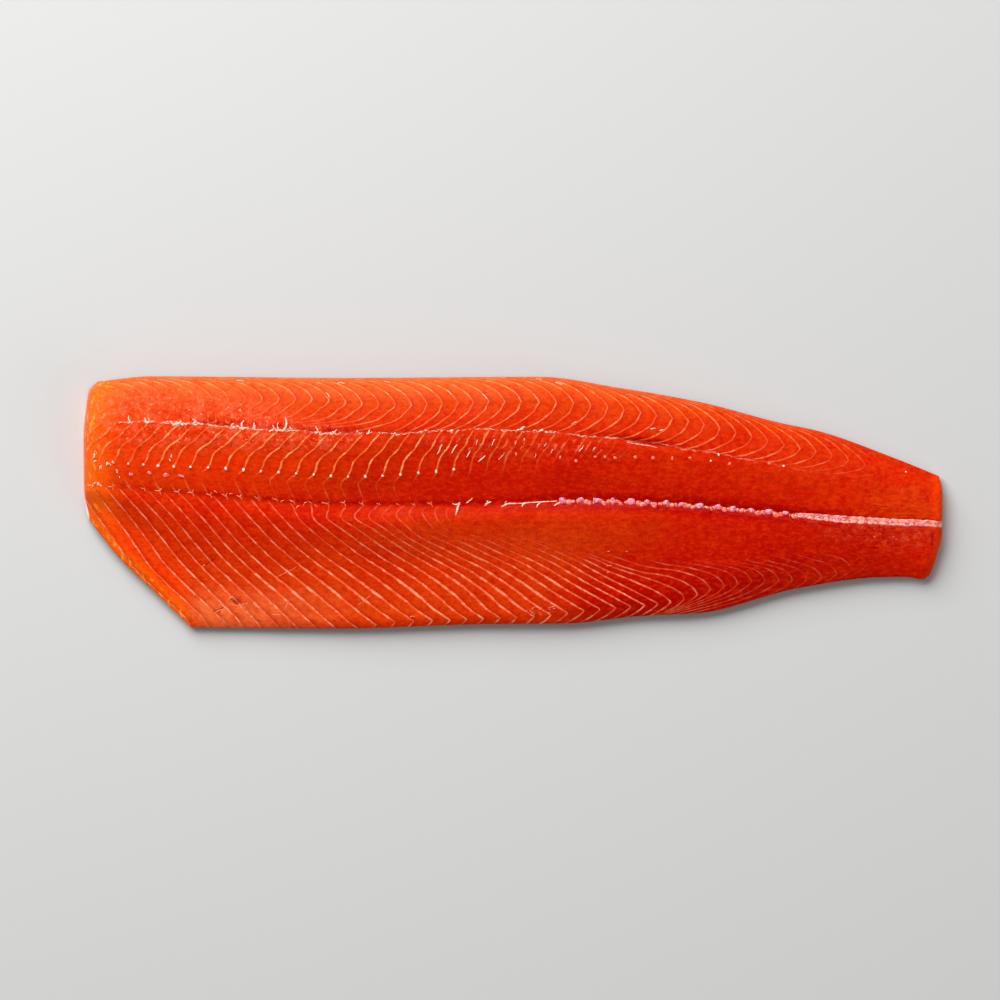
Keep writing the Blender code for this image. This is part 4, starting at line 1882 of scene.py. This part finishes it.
@dataclass
class Trimmings:
    """The pale things along the fillet's lines: where each one lies."""

    face: FleshFace
    placement: Placement
    bead_start: float = 22.3
    bead_pitch: float = 7.74
    bead_count: int = 22
    rosy_gaps: int = 17
    pin_bone_count: int = 21
    tag_count: int = 20
    nick_count: int = 16
    band_start: float = 130.0
    draw: np.random.Generator = field(default_factory=lambda: np.random.default_rng(42))

    def midline(self, x: float) -> float:
        """The midline's y."""
        return float(self.face.form.midline.at(x))

    def between(self, low: float, high: float) -> float:
        """A random value between two."""
        return float(self.draw.uniform(low, high))

    def vary(self, value: float, share: float) -> float:
        """A value changed at random by up to a share of itself."""
        return value * self.between(1 - share, 1 + share)

    def lavender_beads(self) -> list[Bead]:
        """The pale lavender lumps, one to a vertebra; the last ones lie in the fat band."""
        beads = []
        for k in range(self.bead_count):
            x = self.bead_start + k * self.bead_pitch + self.between(-0.5, 0.5)
            y = self.midline(x) + self.between(0.1, 0.6)
            in_band = x > self.band_start
            size = (self.vary(3.1, 0.2), self.vary(2.8, 0.25), 1.1 if in_band else 1.6)
            turn = self.between(-0.8, 0.8)
            beads.append(Bead(x, y - 0.5 * in_band, size, turn, 0.15))
        return beads

    def peach_beads(self) -> list[Bead]:
        """The rosy lumps that run together between them."""
        beads = []
        rows = ((-2.4, 2.0, 0.2), (-0.7, 2.7, 0.6), (1.2, 2.3, 0.5), (2.6, 1.5, 0.2))
        for k in range(self.rosy_gaps):
            x = self.bead_start + (k + 0.5) * self.bead_pitch
            for nudge, width, drop in rows:
                size = (self.vary(width, 0.3), self.vary(2.1, 0.35), self.vary(1.1, 0.2))
                place = x + nudge + self.between(-0.5, 0.5)
                turn = self.between(-0.9, 0.9)
                below = drop + self.between(-0.35, 0.35)
                beads.append(Bead(place, self.midline(place) - below, size, turn, 0.0))
        return beads

    def pin_bones(self) -> list[Bead]:
        """The white ends of the pin bones, each where a loin line ends."""
        beads = []
        loin = self.face.loin
        grid = np.linspace(-330, 330, 6601)
        counts = loin.count.at(grid)
        for n in range(self.pin_bone_count):
            x = float(np.interp(n, counts, grid))
            lane = float(loin.pin_lane.at(x))
            y = float(self.face.form.lane_y(np.array(x), np.array(lane)))
            size = (self.vary(1.15, 0.25), self.vary(1.45, 0.25), 1.0)
            beads.append(Bead(x, y - 0.3, size, self.between(-0.9, 0.9), 0.2))
        for x, y in ((89.2, 18.7), (92.6, 21.4), (121.8, 16.4), (177.1, 13.7)):
            beads.append(Bead(x, y, (self.vary(1.0, 0.2), self.vary(1.2, 0.3), 0.9), 0.4, 0.1))
        return beads

    def pin_tips(self) -> list[Bead]:
        """The softer, rosy ends of the last pin bones."""
        tips = []
        rows = (
            (21.4, 20.2), (37.2, 20.5), (41.6, 20.4), (46.2, 20.0), (55.2, 20.3), (63.2, 20.1),
            (71.8, 19.8), (79.8, 19.8), (97.6, 17.4), (115.4, 17.4), (1.6, 21.8), (28.6, 18.6),
        )
        for x, y in rows:
            size = (self.vary(1.35, 0.3), self.vary(1.5, 0.3), 0.8)
            tips.append(Bead(x, y, size, self.between(-1, 1), -0.05))
        return tips

    def nerve_ends(self) -> list[Bead]:
        """Pink lumps a little below the first pin bones."""
        spots = ((-171.5, 12.8), (-163.1, 13.3), (-155.7, 12.4), (-148.7, 11.9))
        return [Bead(x, y, (self.vary(2.5, 0.25), self.vary(1.7, 0.25), 0.9), -0.4, 0.0)
                for x, y in spots]

    def midline_tags(self) -> list[Strand]:
        """Small torn forks on the midline, where the belly's lines meet it."""
        strands = []
        places = Track(((0, -179.8), (9, -114.5), (20, -28.4)))
        for n in range(self.tag_count):
            x = float(places.at(n)) + self.between(-0.7, 0.7)
            y = self.midline(x) + self.between(-0.1, 0.7)
            big = self.between(0.75, 1.3) * (1.0 if n < 12 else 0.8)
            back = self.between(0.2, 1.0)
            strands.append(Strand(((x - 1.5 * big, y + back), (x - 0.5, y + 0.25), (x + 0.5, y - 0.1),
                                   (x + 1.0, y - 1.3 * big)), 0.62 * big, (0.05, 0.1)))
            if self.draw.random() < 0.7:
                out = self.between(0.3, 1.2)
                strands.append(Strand(((x + out * big, y + 1.2 * big), (x + 0.4, y + 0.3),
                                       (x - 0.3, y - 0.3)), 0.55 * big, (0.2, 0.05)))
        rows = (
            (-106.9, 1.2), (-103.4, 0.6), (-96.5, -2.0), (-93.2, -0.4), (-88.4, -1.6), (-84.9, -0.4),
            (-133.4, 4.6), (-126.6, 3.8),
        )
        for x, y in rows:
            turn = self.between(-1, 1)
            strands.append(Strand(((x - 0.8, y - turn), (x, y + 0.2), (x + 0.8, y + 0.6 * turn)),
                                  self.vary(0.5, 0.2), (0.05, 0.1)))
        return strands

    def midline_streaks(self) -> list[Strand]:
        """Longer white streaks before the beads begin."""
        rows = (
            ((-23.6, 0.2), (-24.6, -2.4), (-25.4, -5.8), 0.95, (0.2, 0.1)),
            ((-27.0, -0.6), (-25.4, -1.0), (-24.2, -0.3), 0.6, (0.1, 0.2)),
            ((-20.8, -0.3), (-19.4, 0.6), (-18.0, 2.0), 0.6, (0.1, 0.3)),
            ((-12.6, -1.6), (-11.2, -0.4), (-9.6, 0.2), 0.95, (0.1, 0.3)),
            ((-11.6, -0.2), (-11.0, 0.9), 0.5, (0.1, 0.3)),
            ((-4.9, -1.9), (-3.4, -1.2), (-1.6, -0.6), (1.5, -0.5), 0.8, (0.1, 0.15)),
            ((-3.4, -0.4), (-2.6, 0.6), 0.5, (0.1, 0.25)),
            ((1.0, -0.6), (6.0, -0.2), (12.0, 0.2), (20.0, 0.6), 0.5, (0.02, 0.05)),
            ((4.2, -1.9), (4.9, -0.7), (6.2, -0.2), 1.0, (0.1, 0.3)),
            ((10.8, -2.2), (11.4, -1.0), (12.4, -0.3), 0.55, (0.1, 0.2)),
            ((18.8, -1.4), (20.2, -0.6), (21.4, -0.1), 0.7, (0.1, 0.2)),
        )
        return [Strand(tuple(points), thick, lift) for *points, thick, lift in rows]

    def crease_wisps(self) -> list[Strand]:
        """Torn bits of membrane on the crease: short rags along it, and hooks that stand up."""
        face, draw = self.face, self.draw
        strands = []
        rows = (
            (-177, -172.5, 2.0, 0.5), (-165.5, -161, 1.4, 0.6), (-160, -154.5, 3.0, 0.4),
            (-153.5, -147, 0.9, 0.75), (-144.2, -140.6, 1.0, 0.7), (-127.5, -119.5, 1.6, 0.6),
            (-117.5, -114, 1.2, 0.6), (-109.5, -103, 1.3, 0.7), (-101, -97, 2.6, 0.45),
            (-89, -83, 1.4, 0.6), (-82, -78, 1.6, 0.5), (-74, -54, 6.0, 0.42), (-54, -4, 9.0, 0.38),
            (-2, 20, 5.0, 0.45), (20, 44, 8.0, 0.36),
        )
        for start, end, gap, thick in rows:
            x = start + float(draw.uniform(0, gap))
            while x < end:
                long = float(draw.uniform(1.0, 3.2))
                y = face.crease_y(np.linspace(x, x + long, 4)) + draw.uniform(-0.5, 0.5, 4)
                strands.append(Strand(tuple(zip(np.linspace(x, x + long, 4), y)),
                                      self.vary(thick, 0.35), (0.05, 0.1)))
                x += long * 0.7 + float(draw.uniform(0.1, 1.0)) * gap
        hooks = (
            (-171.4, 3.0), (-163.0, 1.8), (-150.2, 1.8), (-142.6, 2.2), (-125.6, 1.8), (-121.0, 3.4),
            (-116.2, 2.8), (-107.6, 2.2), (-104.8, 3.4), (-102.4, 6.0), (-99.4, 1.6), (-87.6, 2.8),
            (-80.6, 2.0), (-64.0, 1.3),
        )
        for x, rise in hooks:
            y = float(face.crease_y(np.array(x)))
            lean, bend = (float(value) for value in draw.uniform((-1.2, -0.9), (1.8, 0.9)))
            strands.append(Strand(((x - self.vary(1.1, 0.8), y - 0.4), (x - 0.1, y + 0.1),
                                   (x + lean * 0.4 + bend, y + 0.5 * rise), (x + lean, y + rise)),
                                  self.vary(0.78, 0.3), (0.1, 0.35)))
        strands.append(Strand(((51.5, 27.0), (56, 26.2), (61, 25.5), (65, 24.6)), 0.45, (0.05, 0.05)))
        return strands

    def crease_lumps(self) -> list[Bead]:
        """Soft lumps of torn membrane on the crease."""
        single = (
            (4.4, 33.4, (2.6, 1.3, 0.7), 0.7), (2.6, 32.6, (1.8, 0.9, 0.6), 0.2),
            (12.8, 32.4, (2.4, 1.1, 0.6), 0.4), (15.2, 31.6, (1.6, 0.8, 0.5), -0.3),
            (63.0, 33.0, (3.2, 0.7, 0.4), 0.15), (66.8, 32.4, (2.4, 0.6, 0.4), 0.3),
        )
        lumps = [Bead(*row) for row in single]
        rows = (
            (-165, -161, 2), (-153.5, -147.5, 6), (-144, -141, 3), (-127, -120, 4), (-117, -114.5, 2),
            (-109, -102, 6), (-89, -79, 5), (-70, -20, 4),
        )
        for start, end, count in rows:
            for x in self.draw.uniform(start, end, count):
                y = float(self.face.crease_y(x)) + self.between(-0.6, 1.0)
                size = (self.vary(1.6, 0.5), self.vary(0.85, 0.35), 0.6)
                lumps.append(Bead(float(x), y, size, self.between(-1.2, 1.2), 0.05))
        return lumps

    def loin_streaks(self) -> list[Strand]:
        """The bright torn lines of the loin, past its middle."""
        rows = (
            (-33.8, 21.8, -31.6, 26.0, 0.62), (-27.2, 22.2, -24.8, 26.0, 0.56),
            (-20.6, 20.4, -18.9, 23.2, 0.5), (-16.2, 25.6, -15.6, 28.2, 0.34),
            (-15.4, 18.2, -12.2, 21.0, 0.52), (-9.4, 25.2, -7.9, 28.4, 0.44),
            (-6.4, 19.2, -3.4, 22.4, 0.26), (1.3, 26.2, 1.7, 27.8, 0.34), (5.1, 27.8, 5.5, 28.9, 0.34),
            (9.7, 20.2, 10.5, 22.0, 0.3), (14.2, 25.2, 15.2, 26.8, 0.28), (17.5, 22.2, 18.2, 23.8, 0.32),
            (29.9, 22.8, 31.8, 25.6, 0.48), (36.0, 23.2, 37.2, 25.0, 0.32),
        )
        strands = []
        for a, b, c, d, thick in rows:
            nudge = self.draw.uniform(-0.35, 0.35, 2)
            strands.append(Strand(((a, b), (a + (c - a) * 0.35 - nudge[0], b + (d - b) * 0.3),
                                   (a + (c - a) * 0.7 + nudge[1], b + (d - b) * 0.65), (c, d)),
                                  thick, (0.1, 0.2)))
        return strands

    def edge_scraps(self) -> list[Bead]:
        """Small scraps of membrane by the head cut."""
        scraps = []
        rows = (
            (-187.4, 20.6, 0.6, 2.4, 6), (-185.6, 15.6, 1.3, 0.7, 3), (-188.0, 8.2, 3.0, 0.7, 8),
            (-182.0, 17.6, 1.6, 1.2, 3), (-176.4, 12.8, 1.2, 1.6, 3), (-153.4, 20.0, 0.7, 1.6, 4),
        )
        for x, y, wide, high, count in rows:
            for _ in range(count):
                place = self.draw.uniform(-1, 1, 2) * (wide, high)
                size = (self.vary(1.3, 0.5), self.vary(0.62, 0.4), 0.45)
                scraps.append(Bead(x + float(place[0]), y + float(place[1]), size,
                                   self.between(0.2, 2.2), 0.0))
        return scraps

    def back_flecks(self) -> list[Strand]:
        """Bright bits on the back's lines."""
        rows = (
            (-57.8, 54.2, -55.0, 53.8), (-78.4, 53.8, -75.4, 53.4), (-124.2, 54.8, -120.6, 54.4),
            (-83.6, 49.4, -81.8, 46.8), (-29.2, 50.2, -27.4, 48.6), (-13.6, 48.8, -11.6, 46.6),
            (10.4, 55.6, 13.2, 55.0), (19.4, 53.8, 22.4, 52.8), (26.4, 35.0, 29.2, 36.4),
        )
        return [Strand(((a, b), ((a + c) / 2, (b + d) / 2 + 0.2), (c, d)), 0.42, (0.05, 0.1))
                for a, b, c, d in rows]

    def belly_scraps(self) -> list[Strand]:
        """Cut edges, nicks and short cross-links on the belly."""
        rows = (
            ((-139.6, -29.0), (-138.8, -28.3), (-137.8, -27.9), 0.75),
            ((-134.0, -49.6), (-132.0, -48.6), (-130.2, -48.0), 0.4),
            ((-131.2, -51.2), (-129.8, -53.4), (-128.3, -55.4), 0.6),
            ((-127.6, -43.6), (-126.8, -42.8), (-125.6, -42.8), 0.8),
            ((-126.4, -46.2), (-124.8, -46.6), (-123.0, -46.0), 0.4),
            ((-118.9, -45.0), (-120.6, -45.8), (-121.9, -45.8), 0.4),
            ((-121.9, -45.8), (-120.2, -47.6), (-118.1, -49.9), 0.45),
            ((-100.9, -43.9), (-101.4, -46.2), (-102.4, -48.4), 0.36),
            ((-108.4, -50.6), (-105.4, -50.6), (-102.4, -49.9), 0.34),
            ((-69.4, -46.1), (-66.8, -44.2), (-63.8, -42.0), 0.3),
            ((-105.5, -33.4), (-101.4, -31.4), (-97.1, -28.9), 0.3),
            ((-46.0, -51.6), (-45.0, -51.2), (-43.8, -51.4), 0.8),
            ((42.6, -22.2), (43.2, -22.0), (43.8, -21.8), 0.5),
            ((50.9, -22.1), (51.5, -22.0), (52.1, -21.9), 0.5),
            ((42.2, -28.8), (43.4, -28.4), (44.6, -28.4), 0.5),
            ((42.4, -31.6), (43.4, -31.2), (44.4, -31.2), 0.45),
        )
        strands = [Strand(points, thick, (0.05, 0.1)) for *points, thick in rows]
        for _ in range(self.nick_count):
            x, y = self.draw.uniform((6, -51), (20, -47))
            turn, long = self.draw.uniform((-0.5, 0.4), (1.0, 1.0))
            dx, dy = math.cos(turn) * long, math.sin(turn) * long
            strands.append(Strand(((x - dx, y - dy), (x, y + 0.1), (x + dx, y + dy)), 0.4, (0.05, 0.1)))
        return strands

    def finish(self) -> None:
        """Make every kind, each as one piece."""
        lavender = FatFinish("fat_lavender", srgb(238, 142, 164), srgb(204, 78, 98)).material()
        rosy = FatFinish("fat_rosy", srgb(240, 132, 112), srgb(206, 60, 44)).material()
        white = FatFinish("membrane_white", srgb(255, 222, 200), srgb(248, 150, 110)).material()
        torn = FatFinish("membrane_torn", srgb(252, 196, 172), srgb(248, 128, 94)).material()
        fork = FatFinish("membrane_fork", srgb(246, 122, 82), srgb(230, 76, 38)).material()
        pink = FatFinish("nerve_pink", srgb(240, 118, 116), srgb(222, 60, 52)).material()
        band = FatFinish("fat_band", srgb(244, 158, 146), srgb(206, 74, 62), patch=480.0).material()
        stuck = (self.face, self.placement)
        FatBand().finish(*stuck, band)
        Beads("midline_fat_lavender", self.lavender_beads(), 0.3, seed=2).finish(*stuck, lavender)
        Beads("midline_fat_rosy", self.peach_beads(), 0.34, seed=3).finish(*stuck, rosy)
        Beads("pin_bone_ends", self.pin_bones(), seed=4, subdivisions=2).finish(*stuck, white)
        Beads("pin_bone_tips", self.pin_tips(), seed=14, subdivisions=2).finish(*stuck, fork)
        Beads("nerve_ends", self.nerve_ends(), seed=5).finish(*stuck, pink)
        Beads("crease_lumps", self.crease_lumps(), seed=6).finish(*stuck, torn)
        Strands("midline_tags", self.midline_tags(), seed=7, unevenness=0.4).finish(*stuck, fork)
        Strands("midline_streaks", self.midline_streaks(), seed=8).finish(*stuck, white)
        Strands("crease_wisps", self.crease_wisps(), seed=9).finish(*stuck, torn)
        Strands("loin_streaks", self.loin_streaks(), seed=10, unevenness=0.3).finish(*stuck, white)
        Beads("edge_scraps", self.edge_scraps(), 0.45, seed=13).finish(*stuck, torn)
        Strands("back_flecks", self.back_flecks(), seed=11).finish(*stuck, torn)
        Strands("belly_scraps", self.belly_scraps(), seed=12).finish(*stuck, fork)


# --- Floor, light and camera ---


@dataclass(frozen=True)
class SoftBox:
    """A square studio lamp that looks at the fillet."""

    name: str
    place: Triple
    size: float
    power: float
    colour: Triple = (1.0, 1.0, 1.0)

    def build(self) -> None:
        """Add the lamp."""
        lamp = bpy.data.lights.new(self.name, "AREA")
        lamp.shape = "SQUARE"
        lamp.size = self.size
        lamp.energy = self.power
        lamp.color = self.colour
        thing = bpy.data.objects.new(self.name, lamp)
        thing.location = self.place
        thing.rotation_euler = (-Vector(self.place)).to_track_quat("-Z", "Y").to_euler()
        bpy.context.scene.collection.objects.link(thing)


@dataclass(frozen=True)
class Studio:
    """A plain pale floor, soft light from behind the fish's back, and the camera above."""

    floor_size: float = 8.0
    floor_colour: Colour = (0.51, 0.51, 0.505, 1.0)
    world_light: float = 0.2
    boxes: tuple[SoftBox, ...] = (
        SoftBox("key_box", (-0.75, 1.35, 1.35), 1.9, 86.5),
        SoftBox("fill_box", (1.6, -1.2, 1.0), 1.4, 11.0),
    )
    camera_place: Pair = (-0.0056, 0.0011)
    camera_height: float = 6.006
    lens: float = 480.0

    def build(self) -> None:
        """Add the floor, the lamps, the world and the camera."""
        scene = bpy.context.scene
        half = self.floor_size / 2
        corners = np.array([(-half, -half, 0), (half, -half, 0), (half, half, 0), (-half, half, 0)])
        floor = mesh_object("floor", corners, [(0, 1, 2, 3)])
        layers = Layers("pale_floor")
        patches = layers.noise(layers.place(), 3.0)
        floor.data.materials.append(layers.finish({
            "Base Color": self.floor_colour, "Roughness": patches.ramp(0.3, 0.7, 0.6, 0.7),
            "Specular IOR Level": 0.2}))
        for box in self.boxes:
            box.build()
        world = bpy.data.worlds.new("studio")
        world.use_nodes = True
        background = world.node_tree.nodes["Background"]
        background.inputs["Color"].default_value = (1, 1, 1, 1)
        background.inputs["Strength"].default_value = self.world_light
        scene.world = world
        scene.view_settings.view_transform = "Standard"
        camera = bpy.data.cameras.new("camera")
        camera.lens = self.lens
        camera.clip_start = 0.1
        eye = bpy.data.objects.new("camera", camera)
        eye.location = (*self.camera_place, self.camera_height)
        scene.collection.objects.link(eye)
        scene.camera = eye


def main() -> None:
    """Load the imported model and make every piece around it, in order."""
    logging.basicConfig(level=logging.INFO, format="%(name)s: %(message)s")
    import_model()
    form = FilletForm()
    placement = Placement.from_frame(form)
    face = FleshFace(form)
    Studio().build()
    Skin(form, placement).finish(SkinFinish().material())
    Flesh(face, FleshTones(form), placement).finish(FleshFinish(face.cuts).material())
    Trimmings(face, placement).finish()


if __name__ == "__main__":
    main()
